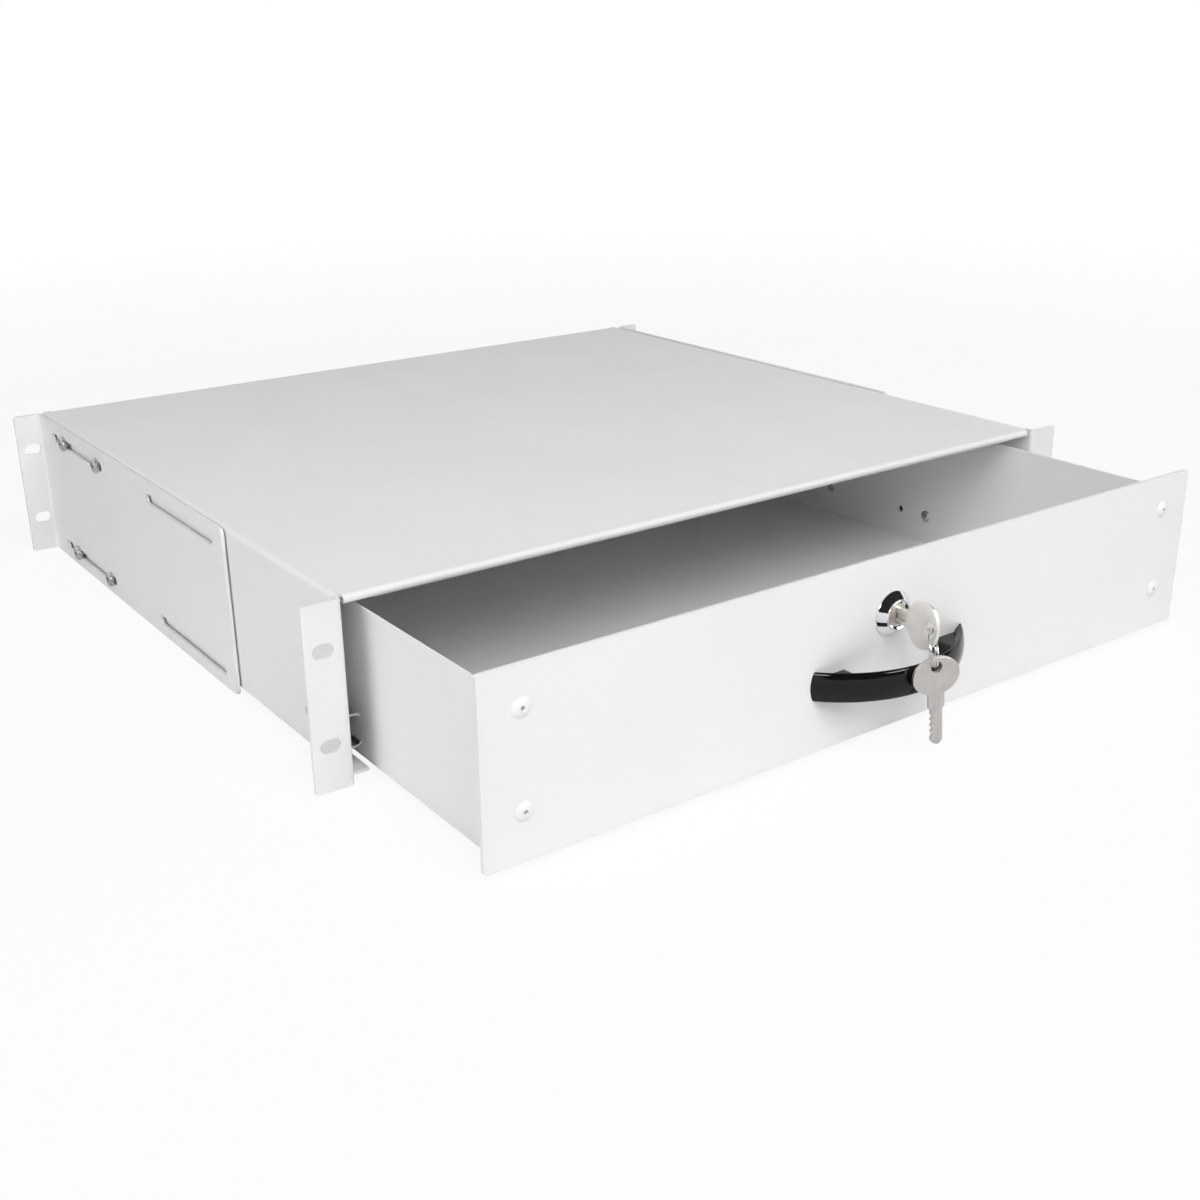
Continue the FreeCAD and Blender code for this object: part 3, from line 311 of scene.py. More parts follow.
def finish(name):
    """The named finish, made once."""
    made = bpy.data.materials.get(name)
    if made:
        return made
    scene = bpy.context.scene
    if name == "powder_coated_steel":
        return powder_coated_steel(scene.drawer_paint)
    if name == "polished_black_abs":
        return polished_black_abs(scene.drawer_handle)
    metals = {
        # Decorative chrome over a buffed casting: near mirror with faint turning lines
        "chromed_zinc_casting": ("#ECEDEF", "#E2E4E8", (0.06, 0.10), (1.0, 4.0, 1.0), 0.8 * MM, 0.000002),
        # Satin nickel over a stamped brass blank: soft grey-beige with rolling lines; colour painted
        # lighter, as painted light on the shaded key in the lock
        "satin_nickel_painted_lighter": ("#F6F2EE", "#EEEAE6", (0.34, 0.46), (1.0, 1.0, 0.2), 0.5 * MM, 0.000006),
        # The same nickel with its colour painted darker: painted shade on the hanging key
        "nickel_painted_darker": ("#D4D0CE", "#C8C4C2", (0.32, 0.46), (1.0, 1.0, 0.2), 0.5 * MM, 0.000008),
        # Bright zinc plate: bluish grey, mottled gloss
        "bright_zinc_steel": ("#C9CDD2", "#B9BCC0", (0.22, 0.38), (1.0, 1.0, 1.0), 0.9 * MM, 0.000006),
        # Zinc-plated strip, roll formed: long draw lines along the slide
        "rolled_zinc_strip": ("#C3C6CA", "#ADB0B4", (0.26, 0.44), (1.0, 0.05, 1.0), 0.5 * MM, 0.000008),
        # Hardened spring wire, nickel plated: bright drawn surface
        "nickel_spring_wire": ("#D9D8D6", "#C8C6C3", (0.10, 0.20), (1.0, 1.0, 1.0), 0.7 * MM, 0.000003),
        # Rolled brass, stamped: warm yellow with burnished flanks
        "stamped_brass": ("#C9A65A", "#B48F45", (0.25, 0.38), (1.0, 1.0, 0.3), 0.5 * MM, 0.000005),
        # Chrome steel, ground and lapped: mirror with a blue-grey cast
        "lapped_ball_steel": ("#C2C4C8", "#B4B7BC", (0.05, 0.10), (1.0, 1.0, 1.0), 0.6 * MM, 0.000001),
        # Zinc die casting, dull plated: brownish grey
        "dull_zinc_casting": ("#D3CCC5", "#BFB7AF", (0.28, 0.45), (1.0, 1.0, 1.0), 0.7 * MM, 0.00001),
    }
    return metal(name, *metals[name])


def coat(names, material):
    """Give CAD nodes a finish on every material slot."""
    for name in names:
        node = nodes[name]
        if not node.material_slots:
            node.data.materials.append(material)
        for place in node.material_slots:
            place.material = material


# Surfaces


def closed_skin(grid, joined=False):
    """Points and faces over a grid of rings. Neighbouring rings are joined by quads. The last ring
    joins the first, or else each end ring closes with a fan to its own middle point."""
    rows, columns = grid.shape[:2]
    points = grid.reshape(-1, 3)
    row = np.arange(rows if joined else rows - 1)[:, None]
    column = np.arange(columns)[None, :]
    row_after = (row + 1) % rows
    column_after = (column + 1) % columns
    corners = (row * columns + column, row_after * columns + column,
               row_after * columns + column_after, row * columns + column_after)
    faces = np.stack(np.broadcast_arrays(*corners), axis=-1).reshape(-1, 4).tolist()
    if not joined:
        points = np.vstack((points, grid[0].mean(axis=0), grid[-1].mean(axis=0)))
        first = np.arange(columns)
        after = (first + 1) % columns
        last = (rows - 1) * columns
        centre = np.full(columns, rows * columns)
        faces += np.stack((first, after, centre), axis=-1).tolist()
        faces += np.stack((last + after, last + first, centre + 1), axis=-1).tolist()
    return points, faces


def outward(points, faces):
    """Faces turned so that the shell encloses a positive volume: the sum, over a fan of triangles in
    each face, of the first corner dotted with the cross product of the other two."""
    volume = 0.0
    middle = points.mean(axis=0)
    for size in (3, 4):
        chosen = np.array([face for face in faces if len(face) == size])
        for step in range(1, size - 1) if len(chosen) else ():
            a, b, c = (points[chosen[:, place]] - middle for place in (0, step, step + 1))
            volume += np.einsum("ij,ij->i", a, np.cross(b, c)).sum()
    return faces if volume > 0 else [face[::-1] for face in faces]


def make_piece(name, shells, material, body, replaced, sharp=35):
    """One object from closed shells, smooth but for edges sharper than an angle in degrees."""
    points, faces, start = [], [], 0
    for shell_points, shell_faces in shells:
        faces += [[corner + start for corner in face] for face in outward(shell_points, shell_faces)]
        points.append(shell_points)
        start += len(shell_points)
    mesh = bpy.data.meshes.new(name)
    mesh.from_pydata(np.vstack(points).tolist(), [], faces)
    mesh.polygons.foreach_set("use_smooth", np.ones(len(faces), bool))
    mesh.set_sharp_from_angle(angle=math.radians(sharp))
    mesh.materials.append(material)
    piece = bpy.data.objects.new(name, mesh)
    bpy.context.scene.collection.objects.link(piece)
    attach(piece, body)
    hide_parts(*replaced)


def arc(centre, radius, start, end, count):
    """Points of an arc in a plane: centre plus radius times cosine and sine of evenly spaced angles."""
    angle = np.radians(np.linspace(start, end, count))
    return np.stack((centre[0] + radius * np.cos(angle), centre[1] + radius * np.sin(angle)), axis=-1)


def turned(profile, centre, count=96):
    """Profile of (radius, depth) pairs turned about an axis along Y through centre: across is radius
    times cosine, up is radius times sine, depth is as given."""
    angle = np.linspace(0, 2 * np.pi, count, endpoint=False)[None, :]
    radius, depth = np.asarray(profile).T[:, :, None]
    return np.stack(np.broadcast_arrays(
        centre[0] + radius * np.cos(angle), centre[1] + depth, centre[2] + radius * np.sin(angle)), axis=-1)


# Handle


def handle_section(height):
    """Closed outline of the handle's band as (share of thickness, height) pairs: an outer face whose
    depth grows with the square of the height, a wide arc over its shoulder, a small arc round the lip,
    and a rear bevel at 45 degrees that ends in a small arc."""
    half = height / 2
    rise = math.sin(handle_lip_slope)
    rim = half + handle_shoulder * (math.sin(handle_crown_slope) - rise) - handle_lip * (1 - rise)
    crown = rim * math.tan(handle_crown_slope) / 2
    up = np.linspace(-rim, rim, 25)
    face = np.stack((crown * (up / rim) ** 2, up), axis=-1)
    lip_angle = 180 - math.degrees(handle_lip_slope)
    shoulder = arc((crown + handle_shoulder * math.cos(handle_crown_slope),
                    rim - handle_shoulder * math.sin(handle_crown_slope)),
                   handle_shoulder, 180 - math.degrees(handle_crown_slope), lip_angle, 11)
    lip_middle = (shoulder[-1, 0] + handle_lip * math.cos(handle_lip_slope), half - handle_lip)
    lip = arc(lip_middle, handle_lip, lip_angle, 45, 9)
    bend = handle_bevel_bend
    corner = lip[-1].sum() - handle_thickness
    rear = arc((handle_thickness - bend, corner - bend * math.tan(math.radians(22.5))), bend, 45, 0, 5)
    upper = np.vstack((shoulder, lip[1:], rear))
    lower = upper[::-1] * (1, -1)
    outline = np.vstack((face[1:-1], upper, lower))
    return outline / (handle_thickness, 1)


def handle_band():
    """Section carried along the bow: each ring lies between a point of the outer arc and the matching
    point of the inner arc, both at the same share of their own sweep."""
    reach = handle_high.y - handle_low.y
    outer_middle = handle_low.y + handle_outer_radius
    half_chord = math.sqrt(handle_outer_radius ** 2 - (handle_outer_radius - reach) ** 2)
    gap = reach - handle_thickness
    inner_radius = ((half_chord - handle_foot) ** 2 + gap ** 2) / (2 * gap)
    inner_middle = handle_low.y + handle_thickness + inner_radius
    share = np.linspace(-1, 1, 97)
    outer_angle = share * math.asin(half_chord / handle_outer_radius)
    inner_angle = share * math.asin((half_chord - handle_foot) / inner_radius)
    outer = np.stack((handle_outer_radius * np.sin(outer_angle),
                      outer_middle - handle_outer_radius * np.cos(outer_angle)), axis=-1)
    inner = np.stack((inner_radius * np.sin(inner_angle),
                      inner_middle - inner_radius * np.cos(inner_angle)), axis=-1)
    section = handle_section(handle_high.z - handle_low.z)
    depth = section[None, :, :1]
    flat = outer[:, None] + (inner - outer)[:, None] * depth
    height = np.broadcast_to(section[None, :, 1:], flat.shape[:2] + (1,))
    return np.concatenate((flat, height + (handle_low.z + handle_high.z) / 2), axis=-1)


def handle_feet():
    """Two blocks from the panel into the band. An outline with a half round inner end and a square
    outer end is carried from the panel to the outer arc, less half of the band's thickness, which is
    where its front ring bends to."""
    middle = (handle_low.z + handle_high.z) / 2
    half_height = handle_foot_half_height
    corner = handle_foot_corner
    round_end = arc((handle_foot_inner + half_height, 0.0), half_height, 90, 270, 25)
    low_corner = arc((handle_foot_outer - corner, corner - half_height), corner, -90, 0, 5)
    outline = np.vstack((round_end, low_corner, low_corner[::-1] * (1, -1)))
    share = np.linspace(0, 1, 5)[:, None]
    feet = []
    for side in (-1, 1):
        across = outline[:, 0] * side
        arc_depth = handle_low.y + handle_outer_radius - np.sqrt(handle_outer_radius ** 2 - across ** 2)
        depth = panel_front + share * (arc_depth + handle_thickness / 2 - panel_front)
        up = np.broadcast_to(outline[:, 1] + middle, depth.shape)
        feet.append(closed_skin(np.stack((np.broadcast_to(across, depth.shape), depth, up), axis=-1)))
    return feet


# Lock


def lock_body_shell():
    """Profile turned about the lock's axis, closed through the plug's bore: the mouth, the rolled front
    ring, the flared flank, the flange and the barrel. Points of the barrel that lie past its two flats
    are drawn in sideways to them."""
    front = body_low.y
    rear = body_high.y
    ring_middle = ((bezel_front_radius + bezel_mouth_radius) / 2, front + bezel_ring_radius)
    ring = arc(ring_middle, bezel_ring_radius, 180, 360, 13)
    flank_start = np.array((bezel_front_radius, front + bezel_flank_step))
    flank_end = np.array((body_high.x - bezel_flank_gap,
                          panel_front - bezel_flange - bezel_flange_slope))
    share = np.linspace(0, 1, 15)[:, None]
    bulge = np.sin(np.pi * share) * bezel_bulge * bezel_bulge_way
    flank = flank_start + (flank_end - flank_start) * share + bulge
    profile = np.vstack((
        [(plug_bore_radius, plug_face),
         (bezel_mouth_radius - bezel_mouth_chamfer, front + bezel_mouth_step)],
        ring, flank,
        [(body_high.x, panel_front - bezel_flange), (body_high.x, panel_front),
         (barrel_radius, panel_front), (barrel_radius, rear - barrel_chamfer),
         (barrel_radius - barrel_chamfer, rear), (plug_bore_radius, rear)],
    ))
    grid = turned(profile, (0.0, 0.0, lock_height), 128)
    across = grid[:, :, 0]
    behind = profile[:, 1] >= panel_front
    on_barrel = behind & (profile[:, 0] > plug_bore_radius) & (profile[:, 0] <= barrel_radius)
    cut = np.clip(across, -barrel_half_flat, barrel_half_flat)
    grid[:, :, 0] = np.where(on_barrel[:, None], cut, across)
    return closed_skin(grid, joined=True)


# Keys and ring


def key_bow():
    """Oval plate with a round hole, as rings round the hole. Along each ray from the hole's middle, a
    rounded rectangle runs from the hole's edge to the oval, whose distance is the positive root of the
    oval's quadratic in that direction."""
    angle = np.linspace(0, 2 * np.pi, 120, endpoint=False)
    across, up = np.cos(angle), np.sin(angle)
    half_length, half_width = key_bow_length / 2, key_bow_width / 2
    offset = key_hole_place - (key_neck_length + half_length)
    a = (across / half_length) ** 2 + (up / half_width) ** 2
    b = offset * across / half_length ** 2
    c = (offset / half_length) ** 2 - 1
    reach = (-b + np.sqrt(b ** 2 - a * c)) / a
    half = key_sheet / 2
    rim = key_rim
    edge = np.vstack((arc((-rim, half - rim), rim, 90, 0, 6), arc((-rim, rim - half), rim, 0, -90, 6)))
    lip = key_hole_rim
    mouth = np.vstack((arc((lip, lip - half), lip, 270, 180, 5), arc((lip, half - lip), lip, 180, 90, 5)))
    distance = np.concatenate((
        np.broadcast_to(reach[:, None] + edge[None, :, 0], (len(angle), len(edge))),
        np.broadcast_to(key_hole_radius + mouth[None, :, 0], (len(angle), len(mouth)))), axis=1)
    height = np.broadcast_to(np.concatenate((edge[:, 1], mouth[:, 1]))[None, :], distance.shape)
    grid = np.stack((key_hole_place + distance * across[:, None], distance * up[:, None], height), axis=-1)
    return grid, True


def key_shank():
    """Neck and blade as sections carried along the key. A section runs from the lower to the upper
    edge, with a groove in both faces. The upper edge is the neck's or blade's half width, drawn in to
    a half circle at the tip, and the lower edge rises into each cut by the circle of the cutter."""
    half_blade = key_blade_width / 2
    tip_middle = half_blade - key_blade_length
    tip = tip_middle - half_blade * np.sin(np.linspace(0.5, 0.03, 12) * np.pi)
    run = np.linspace(-0.02 * MM, tip_middle, 130)[1:]
    groove_start = key_groove_end + key_groove_runout
    neck = [*key_sections_near_bow, groove_start, key_groove_end, *key_sections_before_blade]
    along = np.concatenate((neck, run, tip[::-1]))
    on_neck = along >= 0
    half = np.where(on_neck, key_neck_width / 2, half_blade)
    past = np.clip(tip_middle - along, 0, half_blade * 0.9999)
    half = np.where(along < tip_middle, np.sqrt(half_blade ** 2 - past ** 2), half)
    low = -half
    for place in key_bit_places:
        off = np.clip(np.abs(along - place), 0, key_bit_radius)
        cut = -half_blade - key_bit_radius + key_bit_depth + np.sqrt(key_bit_radius ** 2 - off ** 2)
        low = np.where(np.abs(along - place) < key_bit_radius, np.maximum(low, cut), low)
    thick = key_sheet / 2 - key_blade_relief
    rim = np.minimum(key_blade_rim, (half - low) / 6)
    bend = rim * key_rim_middle
    groove_half = np.minimum(key_groove_width / 2, (half - low) / 3.2)
    groove = key_groove_depth * np.clip((groove_start - along) / key_groove_runout, 0, 1)
    slope = groove_half * key_groove_slope
    heights = [thick, thick, thick - groove, thick - groove, thick, thick]
    places = [low + rim, -groove_half - slope, -groove_half, groove_half, groove_half + slope, half - rim]
    upper = list(zip(places, heights))
    right = [(half - bend, thick - bend), (half, thick - rim), (half, rim - thick),
             (half - bend, bend - thick)]
    lower = [(place, -height) for place, height in upper[::-1]]
    left = [(low + bend, bend - thick), (low, rim - thick), (low, thick - rim),
            (low + bend, thick - bend)]
    outline = upper + right + lower + left
    columns = [np.stack(np.broadcast_arrays(along, place, height), axis=-1) for place, height in outline]
    return np.stack(columns, axis=1), False


def placed_key(origin, along, across):
    """Shells of a key carried from its own axes to the object's: origin plus length times along,
    width times across and thickness times their cross product."""
    axes = np.array((along, across, np.cross(along, across)))
    return [closed_skin(grid @ axes + origin, joined) for grid, joined in (key_bow(), key_shank())]


def ring_ends():
    """Middles of the two key holes that the ring hangs in."""
    upper = np.array((0.0, plug_face - key_hole_place, lock_height))
    lower = np.array((spare_hole_across, handle_low.y - spare_hole_lead, lock_height - spare_hole_drop))
    return upper, lower


def ring_coil():
    """Wire carried along a split ring: nearly two turns of one circle, side by side, with a short step
    between them that is a smooth cubic of the angle. Round the wire, a point is its radius times cosine
    along the circle's outward direction plus sine along its axis. The wire shrinks at both ends."""
    upper, lower = ring_ends()
    level = np.array((math.cos(ring_plane_turn), math.sin(ring_plane_turn), 0.0))
    spoke = (upper - lower) / np.linalg.norm(upper - lower)
    axis = np.cross(level, spoke)
    axis /= np.linalg.norm(axis)
    middle = (upper + lower) / 2
    radius = np.linalg.norm(upper - lower) / 2
    side = np.cross(axis, spoke)
    angle = np.linspace(0, ring_sweep, 340)
    step = np.clip((angle - ring_step_start) / ring_step_sweep, 0, 1)
    shift = (step * step * (3 - 2 * step) - 0.5) * ring_pitch
    place = (angle + ring_start)[:, None]
    outward_way = np.cos(place) * spoke + np.sin(place) * side
    line = middle + radius * outward_way + shift[:, None] * axis
    turn = np.linspace(0, 2 * np.pi, 20, endpoint=False)
    end = np.minimum(np.arange(len(angle)), np.arange(len(angle))[::-1])
    wire = (ring_wire_radius * ring_end_taper[np.clip(end, 0, 3)])[:, None, None]
    grid = (line[:, None]
            + wire * np.cos(turn)[None, :, None] * outward_way[:, None]
            + wire * ring_wire_flatness * np.sin(turn)[None, :, None] * axis)
    return closed_skin(grid)


# Blind rivets


def rivet_places():
    """Across and up positions of the panel's four rivets, from their group's corners."""
    inset = rivet_head_radius
    return [(across, up) for across in (rivets_low.x + inset, rivets_high.x - inset)
            for up in (rivets_low.z + inset, rivets_high.z - inset)]


def rivet_shell(across, up):
    """Profile turned about the rivet's axis: the mandrel's hole, a dome whose height falls with the
    radius to the dome's power, a thin rim, the shank and the bulb behind the tray's flange."""
    radius = np.linspace(rivet_bore_radius * 1.25, rivet_head_radius * 0.965, 12)
    fall = (radius / rivet_head_radius) ** rivet_dome_power
    dome = np.stack((radius, -rivet_head_height * (1 - fall) - rivet_rim * fall), axis=-1)
    grip = panel_back - panel_front + tray_sheet
    profile = np.vstack((
        [(rivet_bore_radius * 0.1, rivet_bore_depth), (rivet_bore_radius, rivet_bore_depth),
         (rivet_bore_radius, -rivet_head_height * 0.9)],
        dome,
        [(rivet_head_radius, -rivet_rim_edge), (rivet_head_radius, 0.0), (rivet_shank_radius, 0.0),
         (rivet_shank_radius, grip), (rivet_bulb_radius * 0.9, grip),
         (rivet_bulb_radius, grip + rivet_bulb_start),
         (rivet_bulb_radius, grip + rivet_bulb_length - rivet_bulb_end),
         (rivet_bulb_radius * 0.6, grip + rivet_bulb_length)],
    ))
    return closed_skin(turned(profile, (across, panel_front, up), 48))


# Settings


class PaintSettings(bpy.types.PropertyGroup):
    """Powder coat of the casing, brackets and drawer."""
    colour: FloatVectorProperty(name="Colour", description="Colour of the powder coat", subtype="COLOR",
                                size=3, min=0.0, max=1.0, default=linear("#F2F2F2"))
    pebble_spacing: FloatProperty(name="Pebble spacing", description="Distance between the coat's pebbles",
                                  default=0.8 * MM, unit="LENGTH")
    pebble_height: FloatProperty(name="Pebble height", description="Height of the coat's pebbles",
                                 default=0.022 * MM, unit="LENGTH")
    cloud_spacing: FloatProperty(name="Cloud spacing", description="Distance between paler patches",
                                 default=60 * MM, unit="LENGTH")
    cloud_depth: FloatProperty(name="Cloud tone", description="Tone of the darker patches", default=0.975,
                               min=0.5, max=1.0, subtype="FACTOR")
    edge_radius: FloatProperty(name="Edge radius", description="Rounding of the coated sheet's edges",
                               default=0.35 * MM, unit="LENGTH")


class HandleSettings(bpy.types.PropertyGroup):
    """Moulded bow handle."""
    colour: FloatVectorProperty(name="Colour", description="Colour of the moulding", subtype="COLOR",
                                size=3, min=0.0, max=1.0, default=linear("#0B0B0C"))


class StudioSettings(bpy.types.PropertyGroup):
    """Floor, lamps and camera."""
    floor_colour: FloatVectorProperty(name="Floor", description="Colour of the floor", subtype="COLOR",
                                      size=3, min=0.0, max=1.0, default=linear("#EAEAEA"))
    sky_strength: FloatProperty(name="Sky strength", description="Level of the even light all round",
                                default=0.18, min=0.0)
    front_power: FloatProperty(name="Front lamp", description="Power of the high front lamp",
                               default=21.5, min=0.0, subtype="POWER", unit="POWER")
    left_power: FloatProperty(name="Left lamp", description="Power of the lamp at the left", default=10.1,
                              min=0.0, subtype="POWER", unit="POWER")
    right_power: FloatProperty(name="Right lamp", description="Power of the lamp at the front right",
                               default=6.4, min=0.0, subtype="POWER", unit="POWER")
    gloss_power: FloatProperty(name="Gloss lamps", description="Power of the lamps that only gloss shows, "
                               "for a square metre", default=50.0, min=0.0, subtype="POWER", unit="POWER")
    lens: FloatProperty(name="Lens", description="Focal length of the camera", default=44.643,
                        subtype="DISTANCE_CAMERA")


# Operators


class RACKDRAWER_OT_coat_sheet_metal(bpy.types.Operator):
    """Powder coat the casing, the brackets and the drawer's sheets"""
    bl_idname = "rackdrawer.coat_sheet_metal"
    bl_label = "Coat Sheet Metal"

    def execute(self, context):
        coat(("casing", "bracket_left", "bracket_right", "drawer_tray", "front_panel"),
             finish("powder_coated_steel"))
        return {"FINISHED"}


class RACKDRAWER_OT_finish_slides(bpy.types.Operator):
    """Finish the ball slides, their cages, balls and rivets"""
    bl_idname = "rackdrawer.finish_slides"
    bl_label = "Finish Slides"

    def execute(self, context):
        for side in ("left", "right"):
            coat((f"cabinet_rail_{side}", f"drawer_rail_{side}", f"ball_cage_{side}"),
                 finish("rolled_zinc_strip"))
            coat((f"cabinet_rail_rivets_{side}", f"drawer_rail_rivets_{side}"), finish("bright_zinc_steel"))
            coat((f"balls_{side}",), finish("lapped_ball_steel"))
        return {"FINISHED"}


class RACKDRAWER_OT_finish_fixings(bpy.types.Operator):
    """Finish the screws and nuts of the brackets, handle and lock"""
    bl_idname = "rackdrawer.finish_fixings"
    bl_label = "Finish Fixings"

    def execute(self, context):
        names = ["handle_screws", "lock_nut", "cam_screw"]
        for side in ("left", "right"):
            names += [f"bracket_screws_{side}", f"rivet_nuts_{side}"]
        coat(names, finish("bright_zinc_steel"))
        return {"FINISHED"}


class RACKDRAWER_OT_make_panel_rivets(bpy.types.Operator):
    """Make the four painted blind rivets of the front panel"""
    bl_idname = "rackdrawer.make_panel_rivets"
    bl_label = "Make Panel Rivets"

    def execute(self, context):
        coat(("panel_rivets",), finish("powder_coated_steel"))
        shells = [rivet_shell(across, up) for across, up in rivet_places()]
        make_piece("panel_rivet_heads", shells, finish("powder_coated_steel"), "drawer",
                   ("panel_rivets",))
        return {"FINISHED"}


class RACKDRAWER_OT_make_handle(bpy.types.Operator):
    """Make the bow handle with its crowned band and its feet"""
    bl_idname = "rackdrawer.make_handle"
    bl_label = "Make Handle"

    def execute(self, context):
        material = finish("polished_black_abs")
        coat(("handle",), material)
        make_piece("handle_bow", [closed_skin(handle_band())] + handle_feet(), material, "drawer",
                   ("handle",))
        return {"FINISHED"}


class RACKDRAWER_OT_make_lock(bpy.types.Operator):
    """Make the lock's chrome bezel and finish its inner parts"""
    bl_idname = "rackdrawer.make_lock"
    bl_label = "Make Lock"

    def execute(self, context):
        chrome = finish("chromed_zinc_casting")
        coat(("lock_body",), chrome)
        make_piece("lock_bezel", [lock_body_shell()], chrome, "drawer", ("lock_body",))
        coat(("lock_plug",), finish("dull_zinc_casting"))
        coat(("lock_wafers",), finish("stamped_brass"))
        coat(("lock_cam",), finish("bright_zinc_steel"))
        return {"FINISHED"}


class RACKDRAWER_OT_make_keys(bpy.types.Operator):
    """Make the key in the lock and the spare key"""
    bl_idname = "rackdrawer.make_keys"
    bl_label = "Make Keys"

    def execute(self, context):
        # The key in the lock takes a lighter copy of the nickel, as painted light
        nickel = finish("satin_nickel_painted_lighter")
        # The hanging key takes a darker copy of the nickel, as painted shade
        darker_painted_nickel = finish("nickel_painted_darker")
        coat(("key",), nickel)
        coat(("spare_key",), darker_painted_nickel)
        key = placed_key((0.0, plug_face, lock_height), (0.0, -1.0, 0.0), (0.0, 0.0, 1.0))
        make_piece("key_in_lock", key, nickel, "key", ("key",))
        lower = ring_ends()[1]
        level = np.array((math.cos(spare_key_turn), math.sin(spare_key_turn), 0.0))
        plumb = np.array((0.0, 0.0, 1.0))
        up = plumb * math.cos(spare_key_lean) - level * math.sin(spare_key_lean)
        sideways = level * math.cos(spare_key_lean) + plumb * math.sin(spare_key_lean)
        spare = placed_key(lower - up * key_hole_place, up, sideways)
        make_piece("hanging_key", spare, darker_painted_nickel, "spare_key", ("spare_key",))
        return {"FINISHED"}


class RACKDRAWER_OT_make_key_ring(bpy.types.Operator):
    """Make the split ring that joins the two keys"""
    bl_idname = "rackdrawer.make_key_ring"
    bl_label = "Make Key Ring"

    def execute(self, context):
        wire = finish("nickel_spring_wire")
        coat(("key_ring",), wire)
        make_piece("split_ring", [ring_coil()], wire, "key_ring", ("key_ring",), sharp=60)
        return {"FINISHED"}


def make_sky(settings):
    """Even light all round, and plain white where the camera or a mirror sees past the floor. A mirror
    also sees the dark room round the camera, a disc of sky whose middle is 22 degrees up in front."""
    world = bpy.data.worlds.new("studio_sky")
    bpy.context.scene.world = world
    world.use_nodes = True
    tree = world.node_tree
    tree.nodes.clear()
    ray = add_node(tree, "ShaderNodeLightPath").outputs
    even = add_node(tree, "ShaderNodeBackground", inputs={
        "Color": opaque(linear("#FFFFFF")), "Strength": settings.sky_strength})
    way = add_node(tree, "ShaderNodeTexCoord").outputs["Generated"]
    nearness = add_node(tree, "ShaderNodeVectorMath", {"operation": "DOT_PRODUCT"}, {
        0: way, 1: dark_room_way}).outputs["Value"]
    height = add_node(tree, "ShaderNodeSeparateXYZ", inputs={"Vector": way}).outputs["Z"]
    room = add_node(tree, "ShaderNodeMath", {"operation": "MULTIPLY"}, {
        0: spread(tree, nearness, 0.0, 1.0, 0.46, 0.50),
        1: spread(tree, height, 0.0, 1.0, 0.02, 0.05)}).outputs[0]
    mirrored = add_node(tree, "ShaderNodeMath", {"operation": "MULTIPLY"}, {
        0: room, 1: ray["Is Glossy Ray"]}).outputs[0]
    backdrop = blend_colours(tree, mirrored, linear("#FFFFFF"), linear("#2A2826"))
    white = add_node(tree, "ShaderNodeBackground", inputs={"Color": backdrop, "Strength": 1.0})
    seen = add_node(tree, "ShaderNodeMath", {"operation": "MAXIMUM"}, {
        0: ray["Is Camera Ray"], 1: ray["Is Transmission Ray"]}).outputs[0]
    shown = add_node(tree, "ShaderNodeMath", {"operation": "MAXIMUM"}, {
        0: seen, 1: ray["Is Glossy Ray"]}).outputs[0]
    mix = add_node(tree, "ShaderNodeMixShader", inputs={
        "Fac": shown, 1: even.outputs[0], 2: white.outputs[0]})
    add_node(tree, "ShaderNodeOutputWorld", inputs={"Surface": mix.outputs[0]})


def matt_paper(settings):
    """Seamless background paper: matt, pale, fading out to white far from the object. What the camera
    sees of it is mixed with white, and keeps a faint shadow of the object."""
    material, tree, output = new_material("matt_background_paper")
    place = add_node(tree, "ShaderNodeTexCoord").outputs["Object"]
    away = add_node(tree, "ShaderNodeVectorMath", {"operation": "LENGTH"}, {0: place}).outputs["Value"]
    flat = add_node(tree, "ShaderNodeNewGeometry").outputs["Normal"]
    paper = add_node(tree, "ShaderNodeBsdfDiffuse", inputs={
        "Color": opaque(settings.floor_colour),
        "Normal": bumped(tree, grain(tree, 2 * MM), 0.02 * MM, flat)}).outputs[0]
    white = add_node(tree, "ShaderNodeEmission", inputs={"Strength": 1.0}).outputs[0]
    lifted = add_node(tree, "ShaderNodeMixShader", inputs={
        "Fac": floor_lift, 1: paper, 2: white}).outputs[0]
    camera_ray = add_node(tree, "ShaderNodeLightPath").outputs["Is Camera Ray"]
    direct = add_node(tree, "ShaderNodeMixShader", inputs={
        "Fac": camera_ray, 1: paper, 2: lifted}).outputs[0]
    clear = add_node(tree, "ShaderNodeBsdfTransparent").outputs[0]
    ends = add_node(tree, "ShaderNodeMixShader", inputs={
        "Fac": spread(tree, away, 0.0, 1.0, 0.75, 1.6), 1: direct, 2: clear})
    tree.links.new(ends.outputs[0], output.inputs["Surface"])
    return material


def make_floor(settings):
    """Round sheet of paper under the object, as rings of points: radius times cosine and sine. It has a
    fan in its middle and none over its outer edge."""
    radius = np.array(floor_rings)[:, None]
    angle = np.linspace(0, 2 * np.pi, 64, endpoint=False)[None, :]
    grid = np.stack(np.broadcast_arrays(radius * np.cos(angle), radius * np.sin(angle), 0.0), axis=-1)
    points, faces = closed_skin(grid)
    mesh = bpy.data.meshes.new("floor")
    mesh.from_pydata(points[:-1].tolist(), [], [face for face in faces if len(points) - 1 not in face])
    mesh.materials.append(matt_paper(settings))
    floor = bpy.data.objects.new("floor", mesh)
    middle = (cad_box[0] + cad_box[1]) / 2
    floor.location = (middle.x, middle.y, cad_box[0].z)
    bpy.context.scene.collection.objects.link(floor)


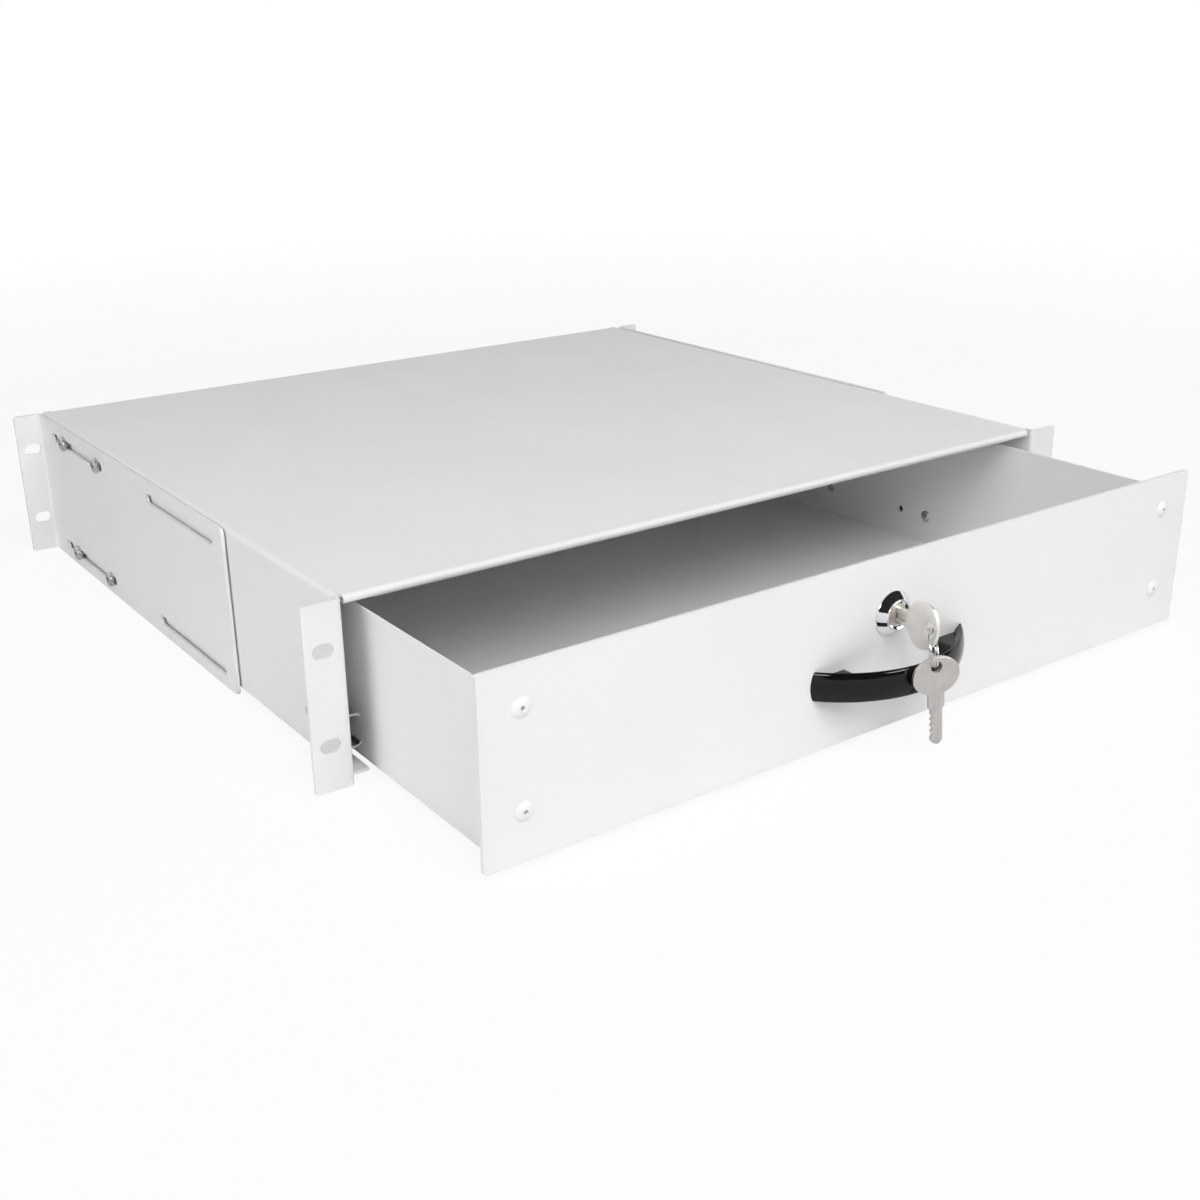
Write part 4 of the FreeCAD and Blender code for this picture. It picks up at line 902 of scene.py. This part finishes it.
def make_lamp(name, place, target, size, power, gloss=False):
    """Soft rectangular lamp at a place, turned to face a target, with its width and height. It lights
    matt surfaces, or else shows only in gloss, as a bright strip of diffusion cloth does."""
    data = bpy.data.lights.new(name, "AREA")
    data.shape = "RECTANGLE"
    data.size, data.size_y = size
    data.energy = power
    lamp = bpy.data.objects.new(name, data)
    lamp.location = place
    way = np.array(target) - np.array(place)
    lamp.rotation_euler = (math.acos(-way[2] / np.linalg.norm(way)), 0.0,
                           math.atan2(way[1], way[0]) - math.pi / 2)
    lamp.visible_camera = False
    lamp.visible_glossy = gloss
    lamp.visible_diffuse = not gloss
    bpy.context.scene.collection.objects.link(lamp)


class RACKDRAWER_OT_make_stage(bpy.types.Operator):
    """Make the floor, the sky, the lamps and the camera"""
    bl_idname = "rackdrawer.make_stage"
    bl_label = "Make Stage"

    def execute(self, context):
        settings = context.scene.drawer_studio
        make_sky(settings)
        make_floor(settings)
        make_lamp("front_lamp", front_lamp_place, front_lamp_target, front_lamp_size,
                  settings.front_power)
        make_lamp("left_lamp", left_lamp_place, middle_target, left_lamp_size, settings.left_power)
        make_lamp("right_lamp", right_lamp_place, middle_target, right_lamp_size, settings.right_power)
        make_lamp("right_gloss_lamp", right_gloss_place, handle_target, right_gloss_size,
                  settings.gloss_power * right_gloss_area, gloss=True)
        make_lamp("left_gloss_lamp", left_gloss_place, handle_target, left_gloss_size,
                  settings.gloss_power * left_gloss_area, gloss=True)
        camera = bpy.data.cameras.new("camera")
        camera.lens = settings.lens
        camera.sensor_width = 36.0
        camera.clip_start = 0.01
        view = bpy.data.objects.new("camera", camera)
        view.location = camera_place
        view.rotation_euler = [math.radians(angle) for angle in camera_turn]
        context.scene.collection.objects.link(view)
        context.scene.camera = view
        context.scene.view_settings.view_transform = "Standard"
        return {"FINISHED"}


class RACKDRAWER_PT_pieces(bpy.types.Panel):
    """Lists the drawer's pieces and their settings"""
    bl_idname = "RACKDRAWER_PT_pieces"
    bl_label = "Rack Drawer"
    bl_space_type = "VIEW_3D"
    bl_region_type = "UI"
    bl_category = "Rack Drawer"

    def draw(self, context):
        for operator in OPERATORS:
            self.layout.operator(operator.bl_idname)
        for name, group in SETTINGS.items():
            for setting in group.__annotations__:
                self.layout.prop(getattr(context.scene, name), setting)


SETTINGS = {"drawer_paint": PaintSettings, "drawer_handle": HandleSettings, "drawer_studio": StudioSettings}
OPERATORS = (
    RACKDRAWER_OT_make_stage,
    RACKDRAWER_OT_coat_sheet_metal,
    RACKDRAWER_OT_finish_slides,
    RACKDRAWER_OT_finish_fixings,
    RACKDRAWER_OT_make_panel_rivets,
    RACKDRAWER_OT_make_handle,
    RACKDRAWER_OT_make_lock,
    RACKDRAWER_OT_make_keys,
    RACKDRAWER_OT_make_key_ring,
)
CLASSES = (*SETTINGS.values(), *OPERATORS, RACKDRAWER_PT_pieces)


def register():
    for item in CLASSES:
        bpy.utils.register_class(item)
    for name, group in SETTINGS.items():
        setattr(bpy.types.Scene, name, PointerProperty(type=group))


def unregister():
    for name in SETTINGS:
        delattr(bpy.types.Scene, name)
    for item in reversed(CLASSES):
        bpy.utils.unregister_class(item)


def main():
    """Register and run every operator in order."""
    register()
    for operator in OPERATORS:
        group, name = operator.bl_idname.split(".")
        getattr(getattr(bpy.ops, group), name)()


if __name__ == "__main__":
    main()
